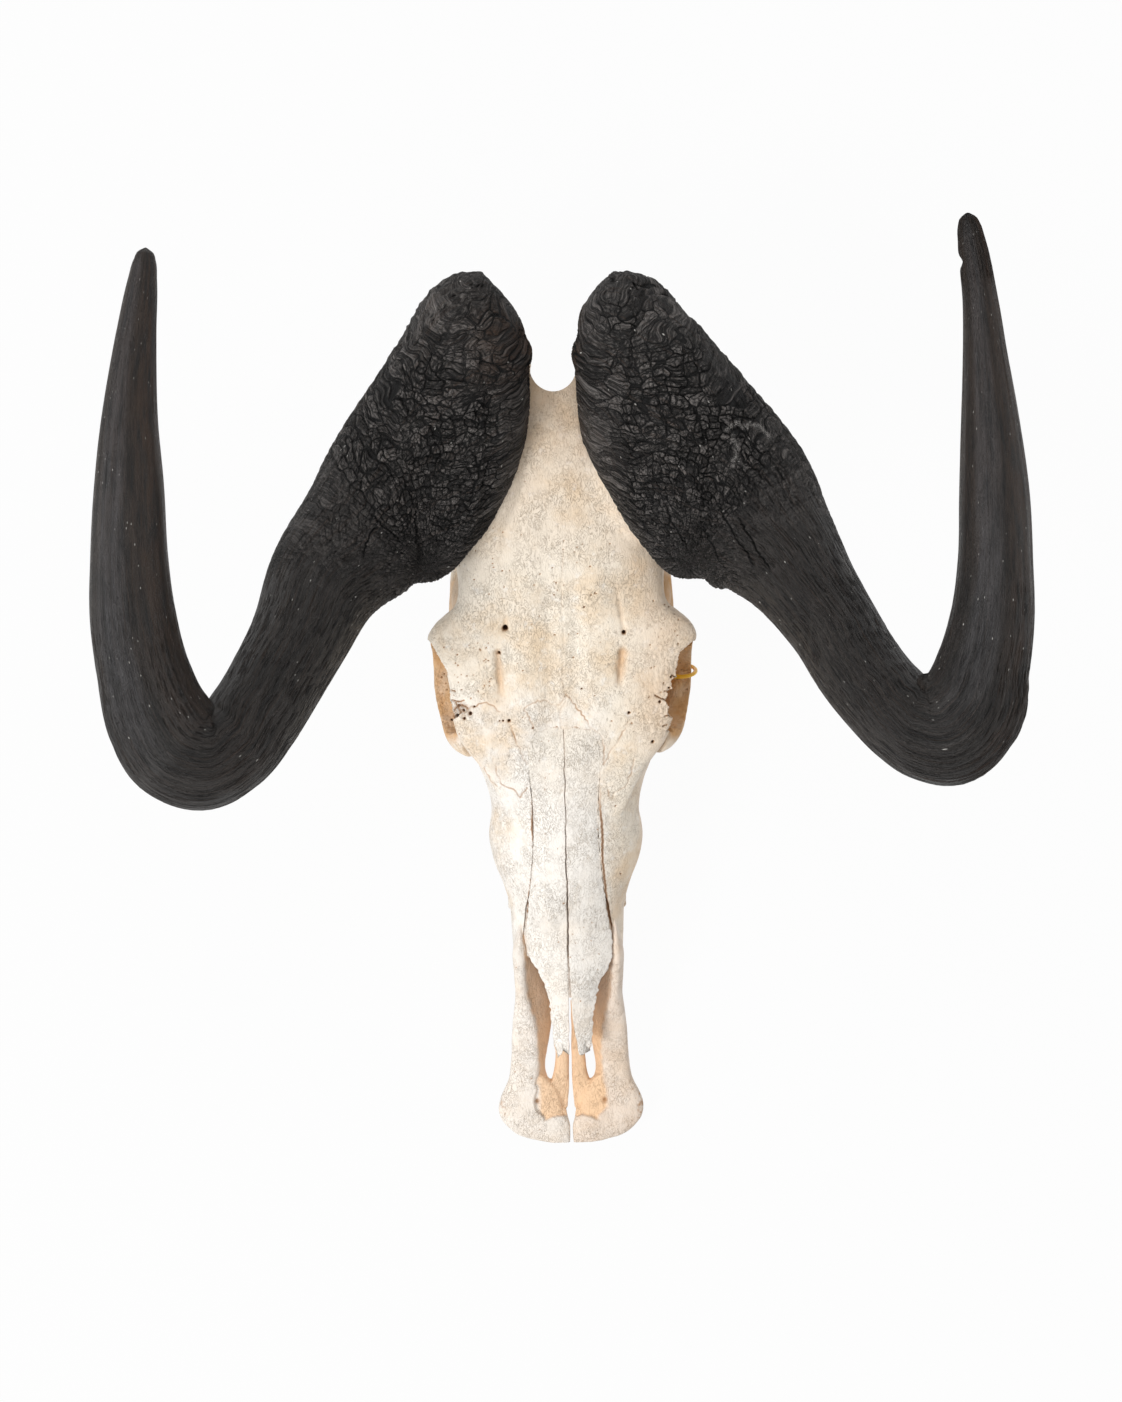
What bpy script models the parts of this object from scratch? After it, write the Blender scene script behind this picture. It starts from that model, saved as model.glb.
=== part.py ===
"""Skull of a black wildebeest bull with both horns, at life size.

The skull lies on its cheek teeth and on the two processes beside the neck
joint. X runs to the right of the picture, the nose points to -Y and Z is up.
Tables and lengths are in millimetres; the meshes are made in metres.
"""
import math

import bmesh
import bpy
import numpy as np

MM = 0.001

# Driving sizes of the skull
GAP = 0.3              # clearance between neighbouring pieces
CUT_GROWTH = 0.34      # how far a cutter stands out from the piece it clears
CENTRE_X = -1.3        # the middle of the horn spread
CENTRE_Y = -5.5        # the middle between the lips and the horn tips
SKULL_VOXEL = 2.0
CRANIUM_TRIANGLES = 4600
HORN_SIDES = 18
HORN_RINGS = 46

# Roof of the skull: y, half width, top, underside
ROOF = [
    (-40, 47, 116, 88), (-22, 60, 120.5, 98), (0, 65.5, 127, 106), (14, 66.5, 131, 108),
    (26, 71, 135, 109), (36, 78, 138, 110), (44, 74, 141, 111), (54, 65, 144, 112),
    (90, 61, 150, 110), (120, 56, 152, 100), (150, 50, 149, 92), (174, 42, 139, 86),
]
# Upper jaw and nose walls: y, half width, top, underside
FACE = [
    (16, 44, 126, 46), (-8, 54, 121, 38), (-24, 54.5, 119.5, 30), (-37, 50.5, 117, 25),
    (-46, 47, 114, 23), (-61, 43.6, 109, 22), (-80, 45.6, 102, 20), (-94, 42.8, 97, 20),
    (-107, 37.8, 92, 20), (-120, 34.2, 87, 21), (-135, 33, 81, 23), (-153, 32.4, 72, 26),
    (-168, 30.8, 60, 28), (-180, 29.5, 46, 30),
]
# Rear of the braincase: y, half width, top, underside
OCCIPUT = [(112, 44, 146, 50), (140, 52, 142, 44), (160, 52, 138, 44), (172, 44, 134, 48), (178, 30, 126, 56)]
# Base of the skull from the palate to the neck joint: y, half width, top, underside
BASE = [(0, 14, 80, 50), (40, 15, 80, 46), (90, 19, 80, 42), (130, 24, 80, 38), (166, 22, 72, 40)]

BRAINCASE_CENTRE = (0, 118, 98)
BRAINCASE_RADII = (47, 60, 48)
ORBIT_CENTRE = (78, 6, 96)
ORBIT_RADII = (41, 25, 20)
PEDICLE_CENTRE = (48, 132, 132)
PEDICLE_RADII = (36, 50, 30)
CONDYLE_CENTRE = (20, 168, 50)
CONDYLE_RADII = (14, 13, 16)
BULLA_CENTRE = (31, 118, 46)
BULLA_RADII = (9, 14, 12)
FORAMEN_MAGNUM = (0, 180, 66)
FORAMEN_RADII = (13, 30, 12)

# Bars round the eye socket and the cheek: x, y, z, radius across, radius upright
SOCKET_RIM = [
    (54, -25, 94, 8, 15), (60, -19, 84, 7.5, 12), (65, -8, 77, 7, 9), (68.5, 8, 74, 7, 8),
    (69, 24, 79, 7, 9), (69, 34, 96, 7.5, 8.5), (67, 40, 116, 9, 8.5), (58, 46, 128, 10, 9),
]
CHEEK_ARCH = [
    (50, -24, 70, 4, 14), (59, -12, 70, 6, 11), (66.5, 12, 71, 6, 9), (62.5, 46, 72, 4.5, 8),
    (60, 78, 71, 4.5, 8), (54, 98, 72, 6, 9), (42, 114, 76, 8, 12),
]
EAR_PROCESS = [(43, 146, 74, 9, 14), (44, 142, 52, 8, 12), (43, 137, 26, 6, 10), (42, 133, -2, 4.5, 7)]
PALATE_WING = [(17, -6, 40, 3, 12), (18, 20, 38, 3, 14), (19, 44, 40, 3, 12), (20, 62, 46, 3, 8)]

# Hollows
PALATE_HOLLOW = [(-196, 17, 33, 2), (-150, 20, 34, 2), (-110, 22, 31, 2), (-40, 23, 32, 2), (4, 12, 42, 2)]
THROAT_HOLLOW = [(-24, 9, 54, 26), (10, 12, 62, 20), (40, 14, 60, 18), (74, 12, 46, 16)]
NOSE_HOLLOW = [(-210, 27, 84, 37), (-176, 25, 76, 38), (-150, 25, 70, 40), (-110, 24, 80, 44), (-50, 18, 94, 56)]
TEMPLE_HOLLOW_CENTRE = (62, 80, 88)
TEMPLE_HOLLOW_RADII = (17, 34, 27)

# Cheek teeth from the front: length along the jaw and width
TEETH = [(11, 9), (13, 11), (14, 12.5), (18, 14.5), (20, 15.5), (22, 14.5)]
TOOTH_ROW_START = -126
TOOTH_ROW_X = 31.5
TOOTH_SPACE = 0.8
TOOTH_ROOT_Z = 34

# Nose bones: y, outer edge, height of the top, inner edge
NASAL = [
    (-14, 12, 120, 0.6), (-18, 16.5, 119.4, 0.6), (-26, 19.5, 117.6, 0.6), (-37, 20.8, 115.2, 0.6),
    (-60, 19.5, 109.2, 0.6), (-85, 19.6, 101.2, 0.6), (-105, 21.4, 94.4, 0.7), (-125, 23.6, 87.2, 0.8),
    (-143, 24.6, 80.8, 0.9), (-151, 21.5, 78.4, 1.0), (-162, 17.5, 75, 1.2), (-174, 13.6, 71.4, 1.4),
    (-186, 10.8, 67.6, 1.8), (-198, 9.2, 63.2, 2.2), (-206, 5.6, 60, 2.8),
]
NASAL_THICKNESS = 4.2
NASAL_DROP = 3.6       # how far the outer edge lies below the middle

# Front jaw bones: y, inner edge, outer edge, top, underside
PREMAXILLA = [
    (-146, 26, 32.4, 70, 60), (-160, 25.2, 31.4, 63, 51), (-175, 24, 30.8, 56, 41), (-189, 20.4, 33, 48, 30),
    (-203, 18.6, 34.6, 38, 20), (-217, 18.2, 35.4, 29, 12), (-227, 14.5, 37, 23, 8), (-236, 8, 41.4, 20, 6.5),
    (-246, 4, 43.8, 19, 6), (-254, 2.4, 41.5, 18, 6.5), (-261, 1.4, 34.6, 17, 7.5), (-265, 1.3, 23, 16, 8.5),
    (-267.2, 1.3, 12, 14.5, 10),
]
PALATINE_BAR = [(-180, 1.3, 7.5, 26, 20), (-205, 1.3, 9.5, 23, 16), (-228, 1.3, 10.5, 20, 12), (-244, 1.3, 16, 18, 8)]

# Horn axes from boss to tip: x, y, height, half width seen from above, half thickness
HORN_LEFT = [
    (-18.5, 171, 140, 43, 24), (-31, 174, 143, 66, 37), (-49, 168, 147, 79, 43), (-69, 153, 155, 82, 42),
    (-84, 139, 160, 71, 41), (-100, 117, 166, 54, 38), (-114, 96, 178, 41.5, 35), (-132, 70, 198, 33, 32),
    (-143, 42, 218, 28, 30), (-156, 16, 237, 26, 29), (-168, -5, 252, 25.5, 29), (-181, -21, 263, 26, 29),
    (-195, -26, 269, 29, 29), (-207, -21, 272, 30, 28), (-217, -6, 274, 28.5, 27), (-225, 20, 276, 25, 25.5),
    (-230, 52, 278, 23, 24), (-231, 80, 279, 21, 22.5), (-230, 121, 282, 18.6, 19.5), (-229, 152, 284, 15.5, 16.5),
    (-224, 202, 286, 10.7, 11), (-219, 234, 288, 7.2, 7.5), (-218, 245.5, 288.6, 2, 2),
]
HORN_RIGHT = [
    (14, 176, 140, 39, 24), (25, 178, 143, 60, 37), (44, 168, 147, 76, 43), (65, 149, 155, 79, 42),
    (82, 138, 160, 70, 41), (98, 119, 166, 57, 38), (110, 105, 176, 47, 35), (122, 85, 190, 36, 33),
    (134, 65, 205, 29, 31), (149, 40, 221, 25, 29), (162, 15, 238, 24.6, 29), (174, -2, 251, 24.4, 29),
    (186, -14, 262, 25.4, 29), (196, -19, 268, 28, 29), (206, -19, 272, 31, 28), (217, -9, 274, 30, 27),
    (226, 16, 276, 25, 25.5), (231, 41, 278, 22.5, 24), (233, 71, 279, 20, 22.5), (233, 103, 281, 19, 20.5),
    (231, 150, 284, 15, 16.5), (229, 180, 286, 12, 13), (227, 209, 287, 9.5, 9.8), (222, 247, 288, 6.2, 6.5),
    (221, 255.5, 288.6, 2, 2),
]
BOSS_STATIONS = 5      # stations whose width lies along Y
SHAFT_STATION = 8      # from here on the width lies square to the axis
BOSS_FOLD_DEPTH = 1.6
BOSS_FOLDS = 7

# Loop of yellow line round the lower rim of the right eye socket
LOOP_CENTRE = (69.4, 16.5, 74.5)
LOOP_RADII = (9, 10.5)
LOOP_THICKNESS = 1
LOOP_TILT = 0.35

# Where the upper jaw parts from the rest of the skull
JAW_SEAM_Y = -27
JAW_SEAM_Z = 70
JAW_SEAM_TILT = math.radians(16)


def clear_scene():
    for item in list(bpy.data.objects):
        bpy.data.objects.remove(item, do_unlink=True)


def new_collection(name):
    collection = bpy.data.collections.new(name)
    bpy.context.scene.collection.children.link(collection)
    return collection


def make_material(name, colour, roughness):
    material = bpy.data.materials.new(name)
    material.use_nodes = True
    shader = material.node_tree.nodes["Principled BSDF"]
    shader.inputs["Base Color"].default_value = (*colour, 1)
    shader.inputs["Roughness"].default_value = roughness
    shader.inputs["Metallic"].default_value = 0
    material.diffuse_color = (*colour, 1)
    return material


def mesh_object(name, points, faces, collection):
    mesh = bpy.data.meshes.new(name)
    mesh.from_pydata((np.asarray(points) * MM).tolist(), [], faces)
    mesh.validate()
    body = bpy.data.objects.new(name, mesh)
    collection.objects.link(body)
    shape = bmesh.new()
    shape.from_mesh(mesh)
    bmesh.ops.recalc_face_normals(shape, faces=shape.faces)
    shape.to_mesh(mesh)
    shape.free()
    return body


def resample(rows, count):
    """Smooth curve through the rows, read at equal steps along its length."""
    rows = np.array(rows, dtype=float)
    span = min(3, rows.shape[1])
    steps = np.linalg.norm(np.diff(rows[:, :span], axis=0), axis=1)
    at = np.concatenate([[0], np.cumsum(steps)])
    slopes = np.gradient(rows, at, axis=0)
    where = np.linspace(0, at[-1], count)
    low = np.clip(np.searchsorted(at, where, side="right") - 1, 0, len(at) - 2)
    width = (at[low + 1] - at[low])[:, None]
    u = (where - at[low])[:, None] / width
    return (
        (2 * u**3 - 3 * u**2 + 1) * rows[low]
        + (u**3 - 2 * u**2 + u) * width * slopes[low]
        + (3 * u**2 - 2 * u**3) * rows[low + 1]
        + (u**3 - u**2) * width * slopes[low + 1]
    )


def loft(name, rings, collection):
    """Closed body through rings of equally many points."""
    rings = np.asarray(rings)
    count, sides = rings.shape[:2]
    points = np.concatenate([rings.reshape(-1, 3), rings[:1].mean(axis=1), rings[-1:].mean(axis=1)])
    first, last = count * sides, count * sides + 1
    faces = []
    for k in range(count - 1):
        for j in range(sides):
            a = k * sides + j
            b = k * sides + (j + 1) % sides
            faces.append((a, b, b + sides, a + sides))
    for j in range(sides):
        faces.append((first, (j + 1) % sides, j))
        base = (count - 1) * sides
        faces.append((last, base + j, base + (j + 1) % sides))
    return mesh_object(name, points, faces, collection)


def rounded_section(sides, squareness):
    """Unit outline between a circle (1) and a box (0)."""
    angle = np.arange(sides) * 2 * math.pi / sides
    c = np.cos(angle)
    s = np.sin(angle)
    return np.sign(c) * np.abs(c) ** squareness, np.sign(s) * np.abs(s) ** squareness


def loft_along_y(name, rows, collection, squareness=0.7, sides=28, count=30):
    across, upright = rounded_section(sides, squareness)
    rings = []
    for y, half_width, top, underside in resample(rows, count):
        height = (top + underside) / 2 + (top - underside) / 2 * upright
        rings.append(np.stack([half_width * across, np.full(sides, y), height], axis=1))
    return loft(name, rings, collection)


def bar(name, rows, side, collection, sides=14, count=20):
    """Bar of oval section along a bent line, mirrored by side."""
    rows = resample(rows, count)
    axis = rows[:, :3] * (side, 1, 1)
    along = np.gradient(axis, axis=0)
    along /= np.linalg.norm(along, axis=1)[:, None]
    outward = np.cross(along, np.cross((side, 0, 0), along))
    outward /= np.linalg.norm(outward, axis=1)[:, None]
    upward = np.cross(along, outward)
    angle = np.arange(sides) * 2 * math.pi / sides
    rings = []
    for k in range(count):
        across = np.cos(angle)[:, None] * rows[k, 3] * outward[k]
        upright = np.sin(angle)[:, None] * rows[k, 4] * upward[k]
        rings.append(axis[k] + across + upright)
    return loft(name, rings, collection)


def ellipsoid(name, centre, radii, side, collection):
    shape = bmesh.new()
    bmesh.ops.create_uvsphere(shape, u_segments=24, v_segments=14, radius=1)
    mesh = bpy.data.meshes.new(name)
    shape.to_mesh(mesh)
    shape.free()
    for vertex in mesh.vertices:
        vertex.co = [(c + r * v) * MM for c, r, v in zip(centre, radii, vertex.co)]
        vertex.co.x *= side
    if side < 0:
        mesh.flip_normals()
    body = bpy.data.objects.new(name, mesh)
    collection.objects.link(body)
    return body


def tooth(name, y, length, width, side, collection):
    across, along = rounded_section(14, 0.55)
    rings = []
    for height, scale in ((-2, 0.94), (10, 1), (TOOTH_ROOT_Z, 0.9)):
        x = side * (TOOTH_ROW_X + width / 2 * scale * across)
        rings.append(np.stack([x, y + length / 2 * scale * along, np.full(14, height)], axis=1))
    return loft(name, rings, collection)


def apply_modifiers(body):
    graph = bpy.context.evaluated_depsgraph_get()
    mesh = bpy.data.meshes.new_from_object(body.evaluated_get(graph))
    old = body.data
    body.modifiers.clear()
    body.data = mesh
    bpy.data.meshes.remove(old)


def join_shapes(name, bodies, collection):
    """One object that holds the meshes of all bodies."""
    shape = bmesh.new()
    for body in bodies:
        shape.from_mesh(body.data)
        bpy.data.objects.remove(body, do_unlink=True)
    mesh = bpy.data.meshes.new(name)
    shape.to_mesh(mesh)
    shape.free()
    joined = bpy.data.objects.new(name, mesh)
    collection.objects.link(joined)
    return joined


def fuse(body, voxel, smoothing):
    """Fuse overlapping closed shapes into one skin and soften it."""
    remesh = body.modifiers.new("Fuse", "REMESH")
    remesh.mode = "VOXEL"
    remesh.voxel_size = voxel * MM
    if smoothing:
        soften = body.modifiers.new("Soften", "SMOOTH")
        soften.factor = 0.5
        soften.iterations = smoothing
    apply_modifiers(body)


def subtract(body, cutter, solver="EXACT"):
    cut = body.modifiers.new("Cut", "BOOLEAN")
    cut.operation = "DIFFERENCE"
    cut.object = cutter
    cut.solver = solver
    apply_modifiers(body)
    bpy.data.objects.remove(cutter, do_unlink=True)


def intersect(body, cutter):
    cut = body.modifiers.new("Keep", "BOOLEAN")
    cut.operation = "INTERSECT"
    cut.object = cutter
    apply_modifiers(body)
    bpy.data.objects.remove(cutter, do_unlink=True)


def triangulate(body):
    shape = bmesh.new()
    shape.from_mesh(body.data)
    bmesh.ops.triangulate(shape, faces=shape.faces)
    shape.to_mesh(body.data)
    shape.free()


def reduce_triangles(body, target):
    triangulate(body)
    decimate = body.modifiers.new("Reduce", "DECIMATE")
    decimate.ratio = min(1.0, target / len(body.data.polygons))
    apply_modifiers(body)


def keep_largest(body):
    """Drop every loose scrap but the largest surface."""
    shape = bmesh.new()
    shape.from_mesh(body.data)
    unseen = set(shape.verts)
    groups = []
    while unseen:
        stack = [unseen.pop()]
        group = list(stack)
        while stack:
            for edge in stack.pop().link_edges:
                for vertex in edge.verts:
                    if vertex in unseen:
                        unseen.remove(vertex)
                        stack.append(vertex)
                        group.append(vertex)
        groups.append(group)
    groups.sort(key=len)
    for group in groups[:-1]:
        bmesh.ops.delete(shape, geom=group, context="VERTS")
    shape.to_mesh(body.data)
    shape.free()


def box(name, low, high, collection):
    corners = [(x, y, z) for x in (low[0], high[0]) for y in (low[1], high[1]) for z in (low[2], high[2])]
    faces = [(0, 1, 3, 2), (4, 6, 7, 5), (0, 4, 5, 1), (2, 3, 7, 6), (0, 2, 6, 4), (1, 5, 7, 3)]
    return mesh_object(name, corners, faces, collection)


def grown_copy(body, name, collection):
    """Copy of a body whose skin stands out by the cutting clearance."""
    copy = bpy.data.objects.new(name, body.data.copy())
    collection.objects.link(copy)
    swell = copy.modifiers.new("Swell", "DISPLACE")
    swell.strength = CUT_GROWTH * MM
    swell.mid_level = 0
    apply_modifiers(copy)
    return copy


def skull_solids(collection):
    solids = [
        loft_along_y("roof", ROOF, collection),
        loft_along_y("face", FACE, collection, squareness=0.75),
        loft_along_y("occiput", OCCIPUT, collection),
        loft_along_y("base", BASE, collection, squareness=0.8),
        ellipsoid("braincase", BRAINCASE_CENTRE, BRAINCASE_RADII, 1, collection),
    ]
    for side in (-1, 1):
        solids.append(bar("socket_rim", SOCKET_RIM, side, collection, count=30))
        solids.append(bar("cheek_arch", CHEEK_ARCH, side, collection, count=30))
        solids.append(bar("ear_process", EAR_PROCESS, side, collection))
        solids.append(bar("palate_wing", PALATE_WING, side, collection))
        solids.append(ellipsoid("pedicle", PEDICLE_CENTRE, PEDICLE_RADII, side, collection))
        solids.append(ellipsoid("condyle", CONDYLE_CENTRE, CONDYLE_RADII, side, collection))
        solids.append(ellipsoid("bulla", BULLA_CENTRE, BULLA_RADII, side, collection))
    return solids


def skull_hollows(collection):
    hollows = [
        loft_along_y("palate_hollow", PALATE_HOLLOW, collection, squareness=0.8),
        loft_along_y("throat_hollow", THROAT_HOLLOW, collection, squareness=0.8),
        loft_along_y("nose_hollow", NOSE_HOLLOW, collection, squareness=0.8),
        ellipsoid("foramen_magnum", FORAMEN_MAGNUM, FORAMEN_RADII, 1, collection),
    ]
    for side in (-1, 1):
        hollows.append(ellipsoid("orbit", ORBIT_CENTRE, ORBIT_RADII, side, collection))
        hollows.append(ellipsoid("temple", TEMPLE_HOLLOW_CENTRE, TEMPLE_HOLLOW_RADII, side, collection))
    return hollows


def tooth_row(side, collection):
    row = []
    y = TOOTH_ROW_START
    for length, width in TEETH:
        row.append(tooth("tooth", y + length / 2, length - TOOTH_SPACE, width, side, collection))
        y += length
    return row


def make_skull(collection, cutters):
    skull = join_shapes("cranium", skull_solids(collection), collection)
    fuse(skull, SKULL_VOXEL, 2)
    hollow = join_shapes("hollows", skull_hollows(cutters), cutters)
    fuse(hollow, SKULL_VOXEL, 1)
    subtract(skull, hollow, "MANIFOLD")
    teeth = tooth_row(-1, collection) + tooth_row(1, collection)
    skull = join_shapes("cranium", [skull] + teeth, collection)
    fuse(skull, SKULL_VOXEL, 3)
    keep_largest(skull)
    reduce_triangles(skull, CRANIUM_TRIANGLES)
    subtract(skull, box("floor_cut", (-200, -300, -50), (200, 300, 0), cutters))
    return skull


def nasal_plate(name, side, growth, collection):
    """Nose bone: a thin arched plate that ends free over the nostrils."""
    rings = []
    for y, outer, top, inner in resample(NASAL, 26):
        low = inner - growth
        high = outer + growth
        x = np.array([low, low + 0.3 * (high - low), low + 0.7 * (high - low), high])
        fall = NASAL_DROP * (x / high) ** 2
        upper = top + growth - fall
        under = upper - NASAL_THICKNESS - 2 * growth
        ring_x = np.concatenate([x, x[::-1]])
        ring_z = np.concatenate([upper, under[::-1]])
        rings.append(np.stack([side * ring_x, np.full(8, y), ring_z], axis=1))
    rings = np.array(rings)
    rings[0, :, 1] += growth
    rings[-1, :, 1] -= growth
    return loft(name, rings, collection)


def flat_bar(name, rows, side, growth, count, collection):
    """Bar with rounded box sections between an inner and an outer edge."""
    across, upright = rounded_section(12, 0.6)
    rings = []
    for y, inner, outer, top, underside in resample(rows, count):
        x = (inner + outer) / 2 + ((outer - inner) / 2 + growth) * across
        z = (top + underside) / 2 + ((top - underside) / 2 + growth) * upright
        rings.append(np.stack([side * x, np.full(12, y), z], axis=1))
    rings = np.array(rings)
    rings[0, :, 1] += growth
    rings[-1, :, 1] -= growth
    return loft(name, rings, collection)


def jaw_space(growth, low_x, high_x, collection):
    """Block that holds everything in front of the slanting seam of the upper jaw."""
    block = box("jaw_space", (low_x, -400, -300), (high_x, growth, 300), collection)
    block.rotation_euler.x = JAW_SEAM_TILT
    block.location = (0, JAW_SEAM_Y * MM, JAW_SEAM_Z * MM)
    bpy.context.view_layer.update()
    return block


def part_upper_jaw(skull, collection, cutters):
    """Take both halves of the upper jaw off the skull along thin seams."""
    halves = []
    for side, word in ((-1, "left"), (1, "right")):
        jaw = bpy.data.objects.new(f"maxilla_{word}", skull.data.copy())
        collection.objects.link(jaw)
        near, far = side * GAP / 2, side * 300
        intersect(jaw, jaw_space(-GAP, min(near, far), max(near, far), cutters))
        keep_largest(jaw)
        halves.append(jaw)
    subtract(skull, jaw_space(0, -300, 300, cutters))
    keep_largest(skull)
    return halves


def make_premaxilla(name, side, collection, cutters):
    bone = flat_bar(name, PREMAXILLA, side, 0, 26, collection)
    process = flat_bar("process", PALATINE_BAR, side, 0, 10, cutters)
    unite = bone.modifiers.new("Unite", "BOOLEAN")
    unite.operation = "UNION"
    unite.object = process
    apply_modifiers(bone)
    bpy.data.objects.remove(process, do_unlink=True)
    return bone


def make_horn(name, rows, side, collection):
    """Horn sheath: a broad boss that narrows into a shaft bent forward and up."""
    stations = len(rows)
    blend = [1.0 if k < BOSS_STATIONS else max(0.0, (SHAFT_STATION - k) / (SHAFT_STATION - BOSS_STATIONS + 1))
             for k in range(stations)]
    table = [(*row, weight) for row, weight in zip(rows, blend)]
    table = resample(table, HORN_RINGS)
    axis = table[:, :3]
    along = np.gradient(axis, axis=0)
    along /= np.linalg.norm(along, axis=1)[:, None]
    level = np.stack([side * along[:, 1], -side * along[:, 0], np.zeros(HORN_RINGS)], axis=1)
    level /= np.linalg.norm(level, axis=1)[:, None]
    weight = np.clip(table[:, 5:6], 0, 1)
    width_way = weight * (0, -1, 0) + (1 - weight) * level
    width_way /= np.linalg.norm(width_way, axis=1)[:, None]
    thick_way = np.cross(width_way, along) * side
    thick_way /= np.linalg.norm(thick_way, axis=1)[:, None]
    angle = np.arange(HORN_SIDES) * 2 * math.pi / HORN_SIDES
    rings = []
    for k in range(HORN_RINGS):
        fold = weight[k] * BOSS_FOLD_DEPTH * np.sin(BOSS_FOLDS * angle + 0.9 * k)
        width = (table[k, 3] + fold) * np.cos(angle)
        thick = (table[k, 4] + fold) * np.sin(angle)
        rings.append(axis[k] + width[:, None] * width_way[k] + thick[:, None] * thick_way[k])
    return loft(name, rings, collection)


def make_loop(name, collection):
    """Small ring of line that passes under and over the socket rim."""
    bpy.ops.mesh.primitive_torus_add(
        major_segments=24, minor_segments=8, major_radius=1 * MM, minor_radius=0.1 * MM)
    ring = bpy.context.object
    ring.name = name
    for other in list(ring.users_collection):
        other.objects.unlink(ring)
    collection.objects.link(ring)
    mesh = ring.data
    for vertex in mesh.vertices:
        x, y, z = (value / MM for value in vertex.co)
        around = math.atan2(y, x)
        out = math.hypot(x, y) - 1
        tube = LOOP_THICKNESS / 0.1
        vertex.co = (
            (LOOP_CENTRE[0] + (LOOP_RADII[0] + out * tube) * math.cos(around)) * MM,
            (LOOP_CENTRE[1] + z * tube - LOOP_TILT * LOOP_RADII[1] * math.sin(around)) * MM,
            (LOOP_CENTRE[2] + (LOOP_RADII[1] + out * tube) * math.sin(around)) * MM,
        )
    shape = bmesh.new()
    shape.from_mesh(mesh)
    bmesh.ops.recalc_face_normals(shape, faces=shape.faces)
    shape.to_mesh(mesh)
    shape.free()
    return ring


def finish_piece(body, material):
    triangulate(body)
    body.data.materials.clear()
    body.data.materials.append(material)
    body.data.shade_smooth()
    body.data.set_sharp_from_angle(angle=math.radians(50))
    shift = (-CENTRE_X * MM, -CENTRE_Y * MM, 0)
    for vertex in body.data.vertices:
        vertex.co.x += shift[0]
        vertex.co.y += shift[1]


def build():
    clear_scene()
    parts = new_collection("wildebeest_skull")
    cutters = new_collection("cutters")
    bone = make_material("bone", (0.78, 0.70, 0.58), 0.62)
    pale_bone = make_material("pale_bone", (0.76, 0.71, 0.63), 0.58)
    horn_black = make_material("horn_black", (0.035, 0.028, 0.024), 0.45)
    yellow_line = make_material("yellow_line", (0.85, 0.35, 0.02), 0.4)

    skull = make_skull(parts, cutters)
    pieces = [(skull, bone)]
    for side, word in ((-1, "left"), (1, "right")):
        subtract(skull, nasal_plate("nasal_cut", side, CUT_GROWTH, cutters))
        pieces.append((nasal_plate(f"nasal_{word}", side, 0, parts), pale_bone))
        premaxilla = make_premaxilla(f"premaxilla_{word}", side, parts, cutters)
        subtract(skull, grown_copy(premaxilla, "premaxilla_cut", cutters))
        pieces.append((premaxilla, pale_bone))
    keep_largest(skull)
    for half in part_upper_jaw(skull, parts, cutters):
        pieces.append((half, bone))
    for side, word, rows in ((-1, "left", HORN_LEFT), (1, "right", HORN_RIGHT)):
        horn = make_horn(f"horn_{word}", rows, side, parts)
        subtract(horn, grown_copy(skull, "skull_cut", cutters))
        keep_largest(horn)
        pieces.append((horn, horn_black))
    loop = make_loop("tie_loop", parts)
    subtract(skull, grown_copy(loop, "loop_cut", cutters))
    keep_largest(skull)
    pieces.append((loop, yellow_line))
    for body, material in pieces:
        finish_piece(body, material)


build()
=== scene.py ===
"""Black wildebeest skull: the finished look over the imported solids.

The tables repeat the sizes of the solids in millimetres, in the skull's own
axes: X to the right of the picture, nose to -Y, Z up. Points named _PX are
pixels of the 1122 x 1402 photograph, and are laid on the skull by its camera.
"""

import math

import bmesh
import bpy
import numpy as np
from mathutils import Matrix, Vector


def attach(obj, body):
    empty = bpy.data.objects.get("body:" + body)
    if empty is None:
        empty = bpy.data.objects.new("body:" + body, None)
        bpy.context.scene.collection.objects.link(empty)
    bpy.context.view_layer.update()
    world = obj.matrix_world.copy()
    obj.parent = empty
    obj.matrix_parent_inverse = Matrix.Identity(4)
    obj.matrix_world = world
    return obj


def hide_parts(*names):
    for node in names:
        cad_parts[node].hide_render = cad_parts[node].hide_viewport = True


MM = 0.001
CENTRE_X = -1.3
CENTRE_Y = -5.5

# Camera of the photograph
PIXEL_MM = 0.575
REFERENCE_Z = 130
CAMERA_ABOVE = 2200
IMAGE_CENTRE_PX = (561, 701)
SKULL_AXIS_PX = 563.2
CAMERA_ROLL = 0.02
SENSOR_MM = 36
IMAGE_HEIGHT_PX = 1402

# Roof of the skull: y, half width, top, underside
ROOF = [
    (-68, 33, 102, 84), (-40, 47, 116, 88), (-22, 60, 120.5, 98), (0, 65.5, 127, 106), (14, 66.5, 131, 108),
    (26, 71, 135, 109), (36, 78, 138, 110), (44, 74.5, 141, 111), (50, 67, 143, 112),
    (57, 60.5, 145, 112), (66, 59, 147, 112), (78, 60, 149, 111), (92, 61, 150.5, 110), (120, 56, 152, 100),
    (150, 50, 149, 92), (174, 42, 140, 86), (186, 34, 136, 90), (196, 26, 131, 94),
]
# Upper jaw and nose walls: y, half width, top, underside
FACE = [
    (16, 44, 126, 46), (-8, 54, 121, 38), (-24, 54.5, 119.5, 30), (-37, 50.5, 117, 25),
    (-46, 47, 114, 23), (-61, 43.6, 109, 22), (-80, 45.6, 102, 20), (-94, 42.8, 97, 20),
    (-107, 37.8, 92, 20), (-120, 34.2, 87, 21), (-135, 33.2, 81.5, 23), (-146, 32.6, 77, 25),
    (-153, 31, 68, 26), (-160, 28.5, 55, 28), (-170, 26, 43, 30), (-178, 24, 38, 31),
]
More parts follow.
